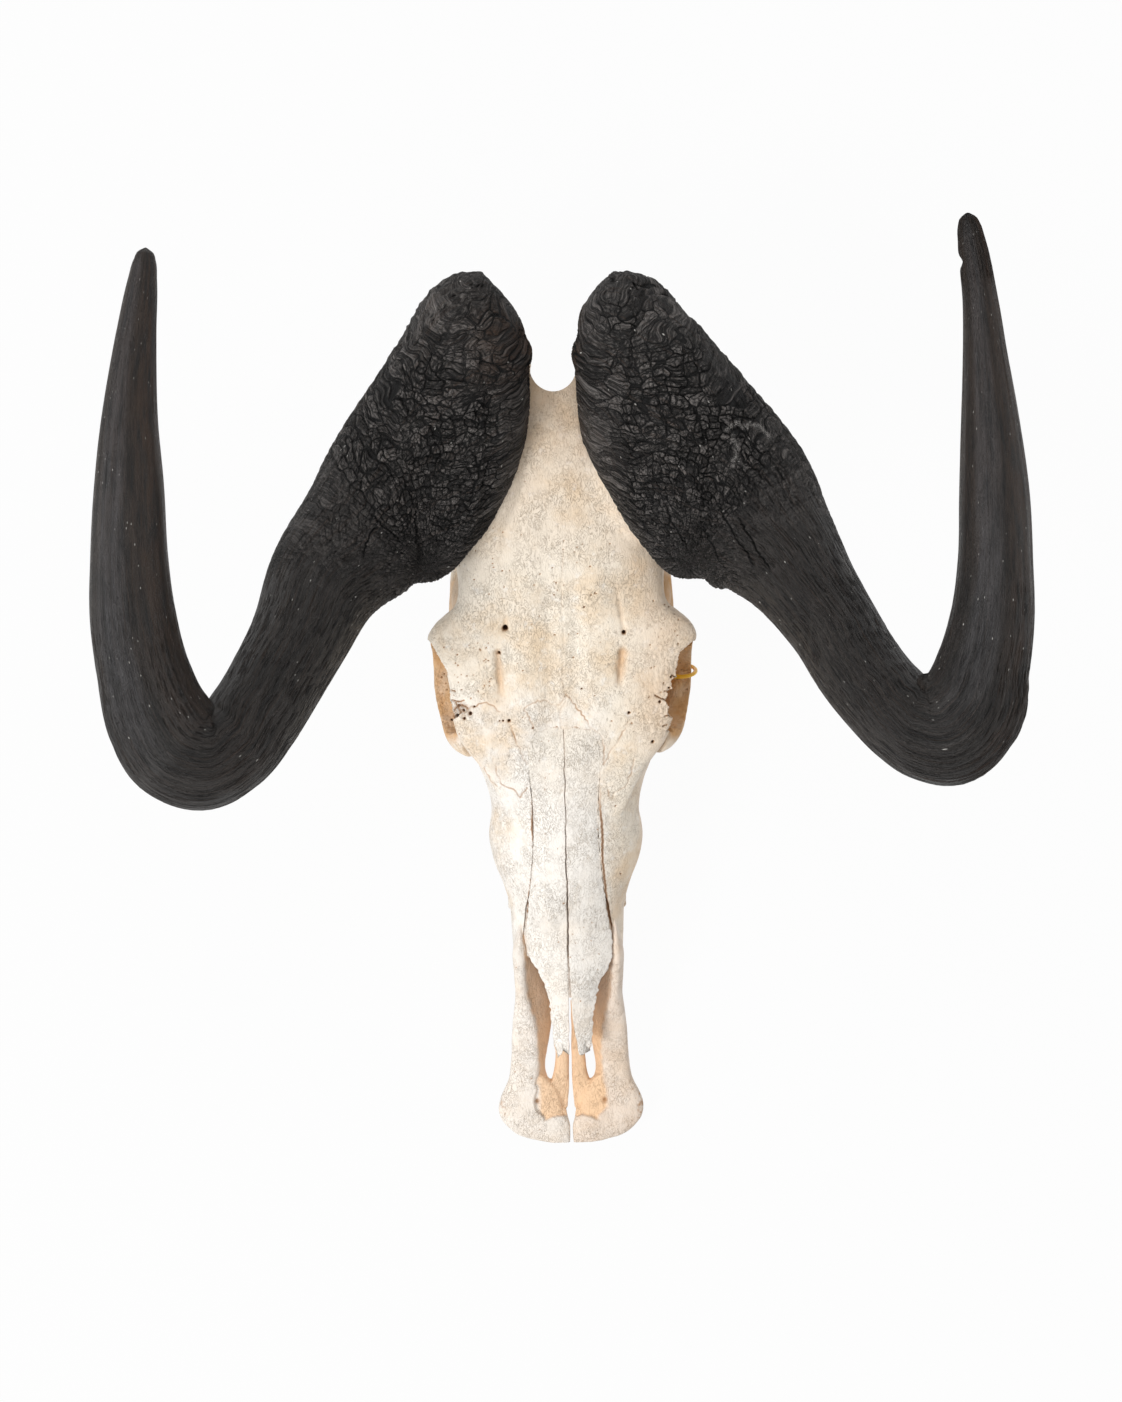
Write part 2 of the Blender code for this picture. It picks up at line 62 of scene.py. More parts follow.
# Rear of the braincase: y, half width, top, underside
OCCIPUT = [(112, 44, 146, 50), (140, 52, 142, 44), (160, 52, 138, 44), (172, 44, 134, 48), (178, 30, 126, 56)]
# Base of the skull from the palate to the neck joint: y, half width, top, underside
BASE = [(0, 14, 80, 50), (40, 15, 80, 46), (90, 19, 80, 42), (130, 24, 80, 38), (166, 22, 72, 40)]

BRAINCASE = ((0, 118, 98), (47, 60, 48))
ORBIT = ((78, 6, 96), (41, 25, 20))
TEMPLE_HOLLOW = ((62, 80, 88), (17, 34, 27))
PEDICLE = ((48, 132, 132), (36, 50, 30))
CONDYLE = ((20, 168, 50), (14, 13, 16))
TEMPLE_KNOB = ((56.5, 62, 108), (7.6, 15, 16))
BULLA = ((31, 118, 46), (9, 14, 12))
FORAMEN_MAGNUM = ((0, 180, 66), (13, 30, 12))

# Bars round the eye socket and the cheek: x, y, z, radius across, radius upright
SOCKET_RIM = [
    (54, -19.5, 99, 8.5, 13), (60.5, -17.5, 90, 8.2, 11), (66, -6, 79, 7, 9), (68.5, 8, 74, 7, 8),
    (69, 24, 79, 7, 9), (69, 34, 96, 7.5, 8.5), (67, 40, 116, 9, 8.5), (58, 46, 128, 10, 9),
]
CHEEK_ARCH = [
    (50, -24, 70, 4, 14), (59, -12, 70, 6, 11), (66.5, 12, 71, 6, 9), (62.5, 46, 72, 4.5, 8),
    (60, 78, 71, 4.5, 8), (54, 98, 72, 6, 9), (42, 114, 76, 8, 12),
]
EAR_PROCESS = [(43, 146, 74, 9, 14), (44, 142, 52, 8, 12), (43, 137, 26, 6, 10), (42, 133, -2, 4.5, 7)]
PALATE_WING = [(17, -6, 40, 3, 12), (18, 20, 38, 3, 14), (19, 44, 40, 3, 12), (20, 62, 46, 3, 8)]

# Hollows
PALATE_HOLLOW = [(-196, 17, 33, 2), (-150, 20, 34, 2), (-110, 22, 31, 2), (-40, 23, 32, 2), (4, 12, 42, 2)]
THROAT_HOLLOW = [(-24, 9, 54, 26), (10, 12, 62, 20), (40, 14, 60, 18), (74, 12, 46, 16)]
NOSE_HOLLOW = [
    (-210, 27, 84, 37), (-176, 25, 76, 38), (-150, 25, 70, 40), (-110, 24, 80, 44), (-50, 18, 94, 56),
]

# Cheek teeth from the front: length along the jaw and width
TEETH = [(11, 9), (13, 11), (14, 12.5), (18, 14.5), (20, 15.5), (22, 14.5)]
TOOTH_ROW_START = -126
TOOTH_ROW_X = 31.5
TOOTH_SPACE = 1.3
TOOTH_ROOT_Z = 34

# Bay in the rear edge of the roof between the horns
REAR_BAY_CENTRE = (-2, 192)
REAR_BAY_RADII = (13.4, 14.6)

# Broken upper edge of each eye socket, in photo pixels from rear to front
SOCKET_EDGE_LEFT_PX = [
    (427, 640), (430, 642), (435, 651), (439.7, 659), (447, 672.5), (446.2, 680), (448, 684),
    (447.2, 688.5), (449.5, 694), (449, 699.6), (452, 705), (451.5, 709.4), (454.5, 714), (455.5, 718),
    (452, 720), (448.4, 722), (451, 727), (454, 734), (450, 736.5), (446, 739.5), (438, 741.5),
]
SOCKET_EDGE_RIGHT_PX = [
    (693, 641), (684, 649), (680, 652), (678, 662), (676.5, 672), (677.5, 677), (672, 680), (672.6, 688),
    (667.5, 691.8), (668.2, 696), (665.4, 700.7), (669.2, 706.9), (667.6, 713), (673.8, 718), (671.6, 724),
    (668.2, 730.3), (673.4, 732.8), (678, 736), (686, 738.5),
]
# Short open slits that run in from the socket edges
SLITS_PX = [
    [(677, 678), (671, 675)], [(672, 691.5), (663.6, 691.5)], [(667, 700.7), (657.4, 697), (653.7, 694)],
    [(673, 718), (667, 715.5), (664, 716.7)], [(668, 725), (662, 727)], [(673, 733), (667, 731)],
    [(447, 689), (456, 692)], [(450, 700), (458, 702), (466, 700)], [(453, 710), (460, 706), (470, 711)],
    [(455, 717), (462, 712)], [(449, 723), (456, 727)], [(453, 735), (460, 734)], [(455, 703), (460, 714)],
]

# Nose bones: y, outer edge, height of the top, inner edge
NASAL = [
    (-14, 11, 121.6, 0.12), (-18, 16.5, 121.5, 0.12), (-25, 19.8, 120.1, 0.12), (-37, 20.8, 117.4, 0.14),
    (-60, 19.5, 109.8, 0.16), (-85, 19.6, 102, 0.2), (-105, 21.4, 95.2, 0.3), (-125, 23.6, 87.8, 0.42),
]
NASAL_LEFT = NASAL + [
    (-143, 24.6, 81.2, 0.5), (-150, 22.8, 78.8, 0.55), (-157, 19.5, 76.6, 0.6), (-162, 16.8, 75, 0.6),
    (-171, 13.1, 72.2, 0.6), (-181, 11.3, 69, 0.4), (-190, 10.7, 66, 0.3), (-199, 9.7, 62.8, 0.3),
    (-206, 8.8, 60.4, 0.4), (-209.5, 8.4, 59, 0.6),
]
NASAL_RIGHT = NASAL + [
    (-143, 26.0, 81.2, 0.5), (-150, 25.8, 78.8, 0.55), (-158, 23.4, 76.4, 0.7), (-165, 19.6, 74.2, 0.8),
    (-170, 17.6, 72.6, 1.1), (-175, 16.1, 71, 1.2), (-184, 14.3, 68, 1.7), (-194, 13.5, 64.6, 2.7),
    (-201, 13, 62.2, 3.8), (-209.5, 12.5, 59, 4.6),
]
NASAL_THICKNESS = 3.4
# How far the outer edge of a nose bone lies below its top: y and drop
NASAL_DROPS = [
    (-14, 0.1), (-27, 0.3), (-40, 1.2), (-60, 4.3), (-85, 4.8), (-105, 7.4), (-125, 8.8), (-145, 8.8),
    (-165, 6.4), (-180, 4.6), (-210, 3.6),
]

# Front jaw bones, side bar: y, outer edge, ridge, foot of the inner wall, top, height of the foot, underside
JAW_BAR = [
    (-128, 29, 26, 23, 72, 60, 54), (-138, 31.2, 26.6, 21, 72.5, 56, 50),
    (-148, 32.8, 26.0, 17, 70, 49, 43), (-163, 32.4, 26.0, 13.5, 62, 40, 36),
    (-176, 31.9, 24.4, 11.5, 55, 33, 29), (-187, 33.2, 21.8, 10.8, 49, 27, 23),
    (-196, 34.2, 19.8, 11.6, 43, 22, 18), (-211, 35.2, 18.8, 14.4, 33, 16, 11),
    (-222, 36.2, 19.4, 15.4, 26, 13, 8), (-231, 37.4, 20.6, 13, 21.6, 12, 7),
    (-238, 36, 21.6, 14, 18.4, 11, 8), (-246, 32, 22, 17, 15.5, 11, 9),
]
# Front jaw bones, lip: y, inner edge, outer edge, top, underside
JAW_LIP = [
    (-226, 15, 36.6, 22, 8), (-231, 10, 38.6, 20.5, 7), (-237, 5.5, 41.6, 19.5, 6.5),
    (-246, 3.2, 43.8, 19.2, 6), (-251.5, 2.2, 42.8, 19, 6.3), (-256, 1.0, 39.6, 18.4, 7),
    (-262, 0.9, 32.6, 16.6, 7.5), (-265.5, 0.9, 22, 15.4, 8.5), (-267.4, 1.2, 12, 14, 10),
]
# Thin inner processes of the front jaw: y, inner edge, outer edge, top, underside
PALATINE_BAR = [
    (-180, 1.0, 7.5, 28, 20), (-205, 0.9, 8.6, 24, 15), (-222, 0.8, 9.8, 20, 12),
    (-232, 1.0, 12.5, 17.5, 9), (-246, 2.2, 17, 15.5, 8),
]

# Horn axes from boss to tip: x, y, height, half width seen from above, half thickness
HORN_LEFT = [
    (-23.2, 181, 140, 41, 24), (-29.5, 176, 142, 55, 32), (-41, 171.5, 145, 71.2, 40),
    (-56, 163, 149, 80, 43), (-69, 153, 155, 82, 42), (-84, 139, 160, 71, 41), (-100, 117, 166, 54, 38),
    (-114, 96, 178, 41.5, 35), (-132, 70, 198, 33, 32), (-143, 42, 218, 28, 30),
    (-156, 16, 237, 26, 29), (-168, -5, 252, 25.5, 29), (-181, -21, 263, 26, 29),
    (-195, -26, 269, 29, 29), (-207, -21, 272, 30, 28), (-217, -6, 274, 28.5, 27),
    (-225, 20, 276, 25, 25.5), (-230, 52, 278, 23, 24), (-231, 80, 279, 21, 22.5),
    (-230, 121, 282, 18.6, 19.5), (-229, 152, 284, 15.5, 16.5), (-224, 202, 286, 10.7, 11),
    (-220, 230, 287.8, 7.7, 8), (-218.6, 240, 288.3, 5.8, 6), (-218.2, 244.4, 288.5, 3.6, 3.7),
    (-218, 246, 288.6, 1, 1),
]
HORN_RIGHT = [
    (17.8, 184, 140, 43, 24), (26.8, 180, 142.5, 58, 34), (41, 170.5, 146, 73, 41),
    (54, 160, 150, 79, 43), (65, 149, 155, 79, 42), (82, 138, 160, 70, 41), (98, 119, 166, 57, 38),
    (110, 105, 176, 47, 35), (122, 85, 190, 36, 33), (134, 65, 205, 29, 31), (149, 40, 221, 25, 29),
    (162, 15, 238, 24.6, 29), (174, -2, 251, 24.4, 29), (186, -14, 262, 25.4, 29),
    (196, -19, 268, 28, 29), (206, -19, 272, 31, 28), (217, -9, 274, 30, 27), (226, 16, 276, 25, 25.5),
    (231, 41, 278, 22.5, 24), (233, 71, 279, 20, 22.5), (233, 103, 281, 19, 20.5),
    (231, 150, 284, 15, 16.5), (229, 180, 286, 12, 13), (227, 209, 287, 9.5, 9.8),
    (222.6, 242, 288, 7.4, 7.6), (221.4, 250, 288.4, 6.0, 6.2), (221, 254.2, 288.5, 3.8, 3.9),
    (220.9, 256, 288.6, 1, 1),
]
BOSS_STATIONS = 6
SHAFT_STATION = 9
BOSS_LENGTH = 190

# Loop of yellow line round the lower rim of the right eye socket
LOOP_CENTRE = (69.4, 16.5, 74.5)
LOOP_RADII = (9, 10.5)
LOOP_THICKNESS = 1.2
LOOP_TILT = 0.35
LOOP_STEPS = 96
LOOP_SIDES = 20

# Seams between the bones, in photo pixels
SEAMS_PX = {
    "forehead": [(563, 545), (562, 600), (564, 650), (563, 684), (566, 700), (560, 712), (562, 728)],
    "nasal_top_left": [(567, 733), (556, 729), (546, 731), (537, 738), (533, 752), (531, 765)],
    "nasal_top_right": [(567, 733), (574, 727), (582, 730), (590, 729), (599, 733), (604, 747), (603, 765)],
    "brow_left": [(533, 727), (529, 716), (524, 708), (534, 702), (545, 701), (556, 706), (566, 695)],
    "brow_right": [(566, 695), (580, 712), (592, 728)],
    "tear_left": [(510, 725), (516, 742), (522, 755), (527, 765)],
    "tear_right": [(628, 722), (620, 738), (611, 752), (604, 765)],
    "jaw_left": [(493, 759), (498, 776), (505, 787), (513, 789), (520, 797), (527, 788)],
    "jaw_right": [(634, 760), (630, 775), (626, 786), (618, 790), (611, 798), (608, 790)],
    "cheek_left": [(484, 768), (489, 778), (496, 786)],
    "front_left": [(452, 700), (470, 708), (486, 703), (500, 712)],
}
# Open cracks beside the nose bones
CRACKS_PX = {
    "side_left": [
        (528, 765), (531, 786), (533, 806), (532, 826), (534, 849), (532, 876), (529, 899), (528, 924),
    ],
    "side_right": [
        (603.5, 763), (601, 783), (600, 806), (602, 829), (602.6, 857), (605, 884), (608, 906),
        (612, 929),
    ],
}
# Holes for vessels: pixel, radius and depth in millimetres
HOLES_PX = [
    (505, 629, 2.1, 9), (624, 633, 1.5, 6), (499, 654, 1.2, 4), (509, 721, 1.2, 5), (503, 721, 0.7, 3),
    (499.5, 721, 0.6, 3), (629, 713, 1.1, 4), (653, 742, 1.2, 4), (584, 607, 0.7, 2), (556, 583, 0.7, 2),
    (567, 759, 0.9, 3), (533, 728, 0.7, 2), (591, 595, 0.6, 2), (595, 593, 0.6, 2), (581.5, 689, 0.7, 2),
    (671.5, 677, 0.9, 3), (669.5, 688, 0.9, 3), (660, 702, 1.1, 3), (470, 714, 1.4, 4), (456, 716, 1.3, 4),
    (463, 711, 1.2, 4), (474, 707, 0.9, 3), (458, 706, 1.0, 3), (464, 719, 1.1, 3), (452, 719, 0.9, 3),
]
# Grooves of the forehead: line, half width and depth in millimetres
GROOVES_PX = [
    ([(497.5, 653), (498, 662), (499.5, 676), (501, 692), (503, 708)], 2.4, 2.8),
    ([(622.5, 653), (621, 662), (620.5, 676), (620, 694)], 3.0, 3.2),
    ([(505, 613), (505, 628)], 1.5, 1.4),
    ([(614, 570), (619, 600), (624, 630)], 1.9, 1.0),
]

# Fan centres of the block pattern on each boss, and its long deep cracks
FAN_LEFT_PX = (430, 566)
FAN_RIGHT_PX = (685, 566)
SPLITS_LEFT_PX = [
    [(431, 423), (433, 436), (440, 452), (441, 467)],
    [(464, 446), (476, 458), (478, 475), (472, 495), (466, 506)], [(474, 402), (477, 421)],
    [(404, 467), (418, 458), (443, 459), (458, 462)],
    [(416, 491), (423, 487), (437, 487), (449, 489), (456, 493)], [(369, 510), (381, 524), (402, 541)],
    [(402, 541), (406, 530), (412, 512)], [(396, 392), (408, 409), (420, 415)],
    [(378, 458), (390, 470), (396, 486)], [(433, 421), (450, 419), (468, 421)],
    [(402, 366), (406, 376)], [(362, 560), (372, 532), (380, 524)],
    [(417, 500), (415, 520), (416, 545)], [(488, 312), (500, 316), (510, 322), (517, 334)],
    [(430, 522), (446, 530)], [(436, 516), (452, 522)],
]
SPLITS_RIGHT_PX = [
    [(700, 520), (712, 545), (722, 566)], [(716, 500), (730, 528), (748, 556), (757, 570)],
    [(735, 512), (750, 538), (772, 574)], [(690, 470), (700, 492), (706, 512)],
    [(640, 430), (660, 425), (684, 432)], [(632, 462), (652, 452), (676, 456), (694, 466)],
    [(640, 486), (662, 477), (684, 482)], [(665, 500), (672, 522), (690, 548)],
    [(655, 395), (664, 415), (668, 440)], [(690, 400), (700, 425), (706, 450)],
    [(608, 330), (622, 322), (640, 328)], [(620, 500), (640, 520), (655, 540)],
    [(646, 350), (652, 368)],
]
# Chalk mark on the right boss
CHALK_PX = [
    [(768, 438), (764, 428), (752, 424), (745, 427), (734, 424), (727, 430)], [(733, 436), (736, 450),
     (733, 466)],
]
# Centres of the rear folds of each boss and the rows between which they fade
FOLD_LEFT_PX = (492, 395)
FOLD_RIGHT_PX = (624, 395)
FOLD_LIMIT_PX = (395, 330)
# Brown flaps at the inner edges of the bosses, brown patch and chip at the right tip: centre and size
FLAP_LEFT_PX = (533, 352)
FLAP_RIGHT_PX = (570, 352)
BROWN_PATCH_PX = ((505, 345), (30, 42))
TIP_CHIP_PX = ((957, 262), (6, 5))
# Zones of the left boss, mirrored on to the right one
BOSS_MIRROR_PX = 1116
BOSS_CORE_PX = ((425, 455), (85, 95))
BOSS_SMOOTH_X_PX = (478, 508)
BOSS_SMOOTH_Y_PX = (375, 430)
BOSS_OUTER_PX = (300, 270)
# Porous bone behind the left eye socket: centre and size
POROUS_PX = ((461, 710), (11, 8))
# Scattered pores: seed, count and two corners of a box
PORES_PX = [
    (41, 40, (440, 640), (492, 700)), (42, 26, (645, 600), (688, 700)), (43, 22, (530, 540), (610, 640)),
    (44, 10, (500, 640), (640, 730)), (45, 12, (440, 800), (690, 940)), (46, 26, (455, 470), (530, 600)),
]
NASAL_PORES_PX = (46, (530, 740), (610, 1050))
JAW_PORES_PX = (26, (500, 960), (645, 1140))


# Number helpers

def smoothstep(low, high, value):
    u = np.clip((value - low) / (high - low), 0, 1)
    return u * u * (3 - 2 * u)


def cell_value(cells, seed):
    """A repeatable value from 0 to 1 for each whole-numbered cell."""
    c = cells.astype(np.int64)
    mix = c[:, 0] * 374761393 + c[:, 1] * 668265263 + c[:, 2] * 1103515245 + seed * 12345701
    mix = (mix ^ (mix >> 13)) * 1274126177
    mix = mix ^ (mix >> 16)
    return (mix & 0xFFFFFF) / 0xFFFFFF


def spot(pixel, place, power=1):
    """Soft oval round a place of the photo, given as centre and size."""
    return np.exp(-(((pixel - place[0]) / place[1]) ** 2).sum(axis=1) ** power)


def noise(points, size, seed=0, octaves=1):
    """Smooth noise from -1 to 1 whose features have the given size."""
    points = np.asarray(points, dtype=float) / np.asarray(size, dtype=float)
    total = np.zeros(len(points))
    weight = 0
    share = 1.0
    for octave in range(octaves):
        base = np.floor(points)
        u = points - base
        u = u * u * (3 - 2 * u)
        value = np.zeros(len(points))
        for corner in np.ndindex(2, 2, 2):
            step = np.array(corner)
            part = np.prod(np.where(step, u, 1 - u), axis=1)
            value += part * cell_value(base + step, seed + 31 * octave)
        total += share * (2 * value - 1)
        weight += share
        share *= 0.5
        points = points * 2.03
    return total / weight


def row_lengths(rows):
    rows = np.array(rows, dtype=float)
    span = min(3, rows.shape[1])
    steps = np.linalg.norm(np.diff(rows[:, :span], axis=0), axis=1)
    return np.concatenate([[0], np.cumsum(steps)])


def read_rows(rows, where):
    """Smooth curve through the rows, read at lengths along it."""
    rows = np.array(rows, dtype=float)
    at = row_lengths(rows)
    slopes = np.gradient(rows, at, axis=0)
    where = np.asarray(where, dtype=float)
    low = np.clip(np.searchsorted(at, where, side="right") - 1, 0, len(at) - 2)
    width = (at[low + 1] - at[low])[:, None]
    u = (where - at[low])[:, None] / width
    return (
        (2 * u**3 - 3 * u**2 + 1) * rows[low]
        + (u**3 - 2 * u**2 + u) * width * slopes[low]
        + (3 * u**2 - 2 * u**3) * rows[low + 1]
        + (u**3 - u**2) * width * slopes[low + 1]
    )


def column_at(rows, y, column):
    """One column of a table whose rows run towards the nose, read at y."""
    return np.interp(-y, [-row[0] for row in rows], [row[column] for row in rows])


def resample(rows, count):
    return read_rows(rows, np.linspace(0, row_lengths(rows)[-1], count))


def to_pixels(points):
    """Where points of the skull, in millimetres, fall in the photograph."""
    scale = 1 / (PIXEL_MM * (1 - (points[:, 2] - REFERENCE_Z) / CAMERA_ABOVE))
    u = points[:, 0] * scale
    v = -points[:, 1] * scale
    x = SKULL_AXIS_PX + u + CAMERA_ROLL * v
    y = IMAGE_CENTRE_PX[1] + v - CAMERA_ROLL * u
    return np.stack([x, y], axis=1)


def from_pixels(pixels, z):
    """The x and y of photo pixels on the skull, at the height z."""
    pixels = np.asarray(pixels, dtype=float)
    x = pixels[:, 0] - SKULL_AXIS_PX
    y = pixels[:, 1] - IMAGE_CENTRE_PX[1]
    size = PIXEL_MM * (1 - (z - REFERENCE_Z) / CAMERA_ABOVE) / (1 + CAMERA_ROLL ** 2)
    return np.stack([(x - CAMERA_ROLL * y) * size, -(y + CAMERA_ROLL * x) * size], axis=1)


def wander(line, amount, seed, step=2.5):
    """Break a line into short steps that wander to both sides."""
    line = np.array(line, dtype=float)
    length = row_lengths(line)[-1]
    count = max(3, int(length / step))
    points = read_rows(line, np.linspace(0, length, count))
    way = np.gradient(points, axis=0)
    way /= np.linalg.norm(way, axis=1)[:, None] + 1e-9
    sway = np.random.default_rng(seed).uniform(-amount, amount, count)
    sway[[0, -1]] = 0
    return points + sway[:, None] * np.stack([-way[:, 1], way[:, 0]], axis=1)


def line_distance(where, line, reach):
    """Distance of each flat point from a line, and how far along it that is."""
    line = np.array(line, dtype=float)
    best = np.full(len(where), float(reach))
    along = np.zeros(len(where))
    near = np.all((where > line.min(axis=0) - reach) & (where < line.max(axis=0) + reach), axis=1)
    spots = where[near]
    found = best[near]
    share = along[near]
    for k in range(len(line) - 1):
        way = line[k + 1] - line[k]
        u = np.clip((spots - line[k]) @ way / (way @ way + 1e-12), 0, 1)
        gap = np.linalg.norm(spots - line[k] - u[:, None] * way, axis=1)
        closer = gap < found
        found = np.where(closer, gap, found)
        share = np.where(closer, (k + u) / (len(line) - 1), share)
    best[near] = found
    along[near] = share
    return best, along


# Mesh helpers

def new_object(name, mesh):
    body = bpy.data.objects.new(name, mesh)
    bpy.context.scene.collection.objects.link(body)
    return body


def mesh_object(name, points, faces):
    mesh = bpy.data.meshes.new(name)
    mesh.from_pydata((np.asarray(points) * MM).tolist(), [], faces)
    mesh.validate()
    shape = bmesh.new()
    shape.from_mesh(mesh)
    bmesh.ops.recalc_face_normals(shape, faces=shape.faces)
    shape.to_mesh(mesh)
    shape.free()
    return new_object(name, mesh)


def read_points(body):
    """Points and normals of a mesh; the points in millimetres."""
    mesh = body.data
    points = np.empty(len(mesh.vertices) * 3)
    mesh.vertices.foreach_get("co", points)
    normals = np.empty(len(mesh.vertices) * 3)
    mesh.vertex_normals.foreach_get("vector", normals)
    return points.reshape(-1, 3) / MM, normals.reshape(-1, 3)


def write_points(body, points):
    body.data.vertices.foreach_set("co", (points * MM).ravel())
    body.data.update()


def write_values(body, name, values):
    attribute = body.data.attributes.new(name, "FLOAT", "POINT")
    attribute.data.foreach_set("value", np.asarray(values, dtype=np.float32))


def write_vectors(body, name, vectors):
    attribute = body.data.attributes.new(name, "FLOAT_VECTOR", "POINT")
    attribute.data.foreach_set("vector", np.asarray(vectors, dtype=np.float32).ravel())


def ring_faces(offset, rings, sides):
    """Quads between rings of points that follow each other."""
    start = np.arange(sides)
    turn = (start + 1) % sides
    base = offset + np.arange(rings - 1)[:, None] * sides
    corners = [base + start, base + turn, base + sides + turn, base + sides + start]
    return np.stack(corners, axis=2).reshape(-1, 4)


def loft(name, rings):
    """Closed body through rings of equally many points."""
    rings = np.asarray(rings)
    count, sides = rings.shape[:2]
    points = np.concatenate([rings.reshape(-1, 3), rings[:1].mean(axis=1), rings[-1:].mean(axis=1)])
    start = np.arange(sides)
    turn = (start + 1) % sides
    first = count * sides
    base = first - sides
    faces = ring_faces(0, count, sides).tolist()
    faces += np.stack([np.full(sides, first), turn, start], axis=1).tolist()
    faces += np.stack([np.full(sides, first + 1), base + start, base + turn], axis=1).tolist()
    return mesh_object(name, points, faces)


def rounded_section(sides, squareness):
    """Unit outline between a circle (1) and a box (0)."""
    angle = np.arange(sides) * 2 * math.pi / sides
    c = np.cos(angle)
    s = np.sin(angle)
    return np.sign(c) * np.abs(c) ** squareness, np.sign(s) * np.abs(s) ** squareness


def loft_along_y(name, rows, squareness=0.7, sides=56, count=80):
    across, upright = rounded_section(sides, squareness)
    rings = []
    for y, half_width, top, underside in resample(rows, count):
        height = (top + underside) / 2 + (top - underside) / 2 * upright
        rings.append(np.stack([half_width * across, np.full(sides, y), height], axis=1))
    return loft(name, rings)


def bar(name, rows, side, sides=24, count=60):
    """Bar of oval section along a bent line, mirrored by side."""
    rows = resample(rows, count)
    axis = rows[:, :3] * (side, 1, 1)
    along = np.gradient(axis, axis=0)
    along /= np.linalg.norm(along, axis=1)[:, None]
    outward = np.cross(along, np.cross((side, 0, 0), along))
    outward /= np.linalg.norm(outward, axis=1)[:, None]
    upward = np.cross(along, outward)
    angle = np.arange(sides) * 2 * math.pi / sides
    rings = []
    for k in range(count):
        across = np.cos(angle)[:, None] * rows[k, 3] * outward[k]
        upright = np.sin(angle)[:, None] * rows[k, 4] * upward[k]
        rings.append(axis[k] + across + upright)
    return loft(name, rings)


def ellipsoid(name, shape_sizes, side):
    centre, radii = shape_sizes
    shape = bmesh.new()
    bmesh.ops.create_uvsphere(shape, u_segments=48, v_segments=28, radius=1)
    mesh = bpy.data.meshes.new(name)
    shape.to_mesh(mesh)
    shape.free()
    body = new_object(name, mesh)
    points = read_points(body)[0] * MM
    points = (points * radii + centre) * (side, 1, 1)
    write_points(body, points)
    if side < 0:
        mesh.flip_normals()
    return body


def apply_modifiers(body):
    graph = bpy.context.evaluated_depsgraph_get()
    mesh = bpy.data.meshes.new_from_object(body.evaluated_get(graph))
    old = body.data
    body.modifiers.clear()
    body.data = mesh
    bpy.data.meshes.remove(old)


def join_shapes(name, bodies):
    shape = bmesh.new()
    for body in bodies:
        shape.from_mesh(body.data)
        bpy.data.objects.remove(body, do_unlink=True)
    mesh = bpy.data.meshes.new(name)
    shape.to_mesh(mesh)
    shape.free()
    return new_object(name, mesh)


def fuse(body, voxel, smoothing):
    """Fuse overlapping closed shapes into one skin and soften it."""
    remesh = body.modifiers.new("Fuse", "REMESH")
    remesh.mode = "VOXEL"
    remesh.voxel_size = voxel * MM
    if smoothing:
        soften = body.modifiers.new("Soften", "SMOOTH")
        soften.factor = 0.5
        soften.iterations = smoothing
    apply_modifiers(body)


def subtract(body, cutter):
    cut = body.modifiers.new("Cut", "BOOLEAN")
    cut.operation = "DIFFERENCE"
    cut.object = cutter
    cut.solver = "MANIFOLD"
    apply_modifiers(body)
    bpy.data.objects.remove(cutter, do_unlink=True)


def refine(body, chosen):
    """Split the faces whose points are all chosen into four."""
    shape = bmesh.new()
    shape.from_mesh(body.data)
    shape.verts.ensure_lookup_table()
    edges = [e for e in shape.edges if chosen[e.verts[0].index] and chosen[e.verts[1].index]]
    bmesh.ops.subdivide_edges(shape, edges=edges, cuts=1, use_grid_fill=True)
    shape.to_mesh(body.data)
    shape.free()


def finish_piece(body, material, nodes):
    """Shade smooth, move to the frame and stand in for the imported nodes."""
    points, _ = read_points(body)
    write_points(body, points - (CENTRE_X, CENTRE_Y, 0))
    body.data.materials.clear()
    body.data.materials.append(material)
    body.data.shade_smooth()
    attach(body, "root")
    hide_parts(*nodes)


# Materials

def start_material(name, roughness):
    material = bpy.data.materials.new(name)
    material.use_nodes = True
    shader = material.node_tree.nodes["Principled BSDF"]
    shader.inputs["Roughness"].default_value = roughness
    shader.inputs["Metallic"].default_value = 0
    return material, material.node_tree, shader


def link(tree, source, target):
    tree.links.new(source, target)


def value_node(tree, name):
    node = tree.nodes.new("ShaderNodeAttribute")
    node.attribute_name = name
    return node


def math_node(tree, operation, first, second):
    node = tree.nodes.new("ShaderNodeMath")
    node.operation = operation
    for socket, value in zip(node.inputs, (first, second)):
        if isinstance(value, (int, float)):
            socket.default_value = value
        else:
            link(tree, value, socket)
    return node.outputs[0]


def weighted_sum(tree, parts):
    total = math_node(tree, "MULTIPLY", *parts[0])
    for value, weight in parts[1:]:
        total = math_node(tree, "ADD", total, math_node(tree, "MULTIPLY", value, weight))
    return total


def ramp_node(tree, value, low, high, out_low=0.0, out_high=1.0):
    node = tree.nodes.new("ShaderNodeMapRange")
    node.interpolation_type = "SMOOTHSTEP"
    link(tree, value, node.inputs["Value"])
    node.inputs["From Min"].default_value = low
    node.inputs["From Max"].default_value = high
    node.inputs["To Min"].default_value = out_low
    node.inputs["To Max"].default_value = out_high
    return node.outputs["Result"]


def mix_node(tree, share, first, second, blend="MIX"):
    node = tree.nodes.new("ShaderNodeMix")
    node.data_type = "RGBA"
    node.blend_type = blend
    for socket, value in ((node.inputs[0], share), (node.inputs[6], first), (node.inputs[7], second)):
        if isinstance(value, tuple):
            socket.default_value = (*value, 1)
        elif isinstance(value, (int, float)):
            socket.default_value = value
        else:
            link(tree, value, socket)
    return node.outputs[2]


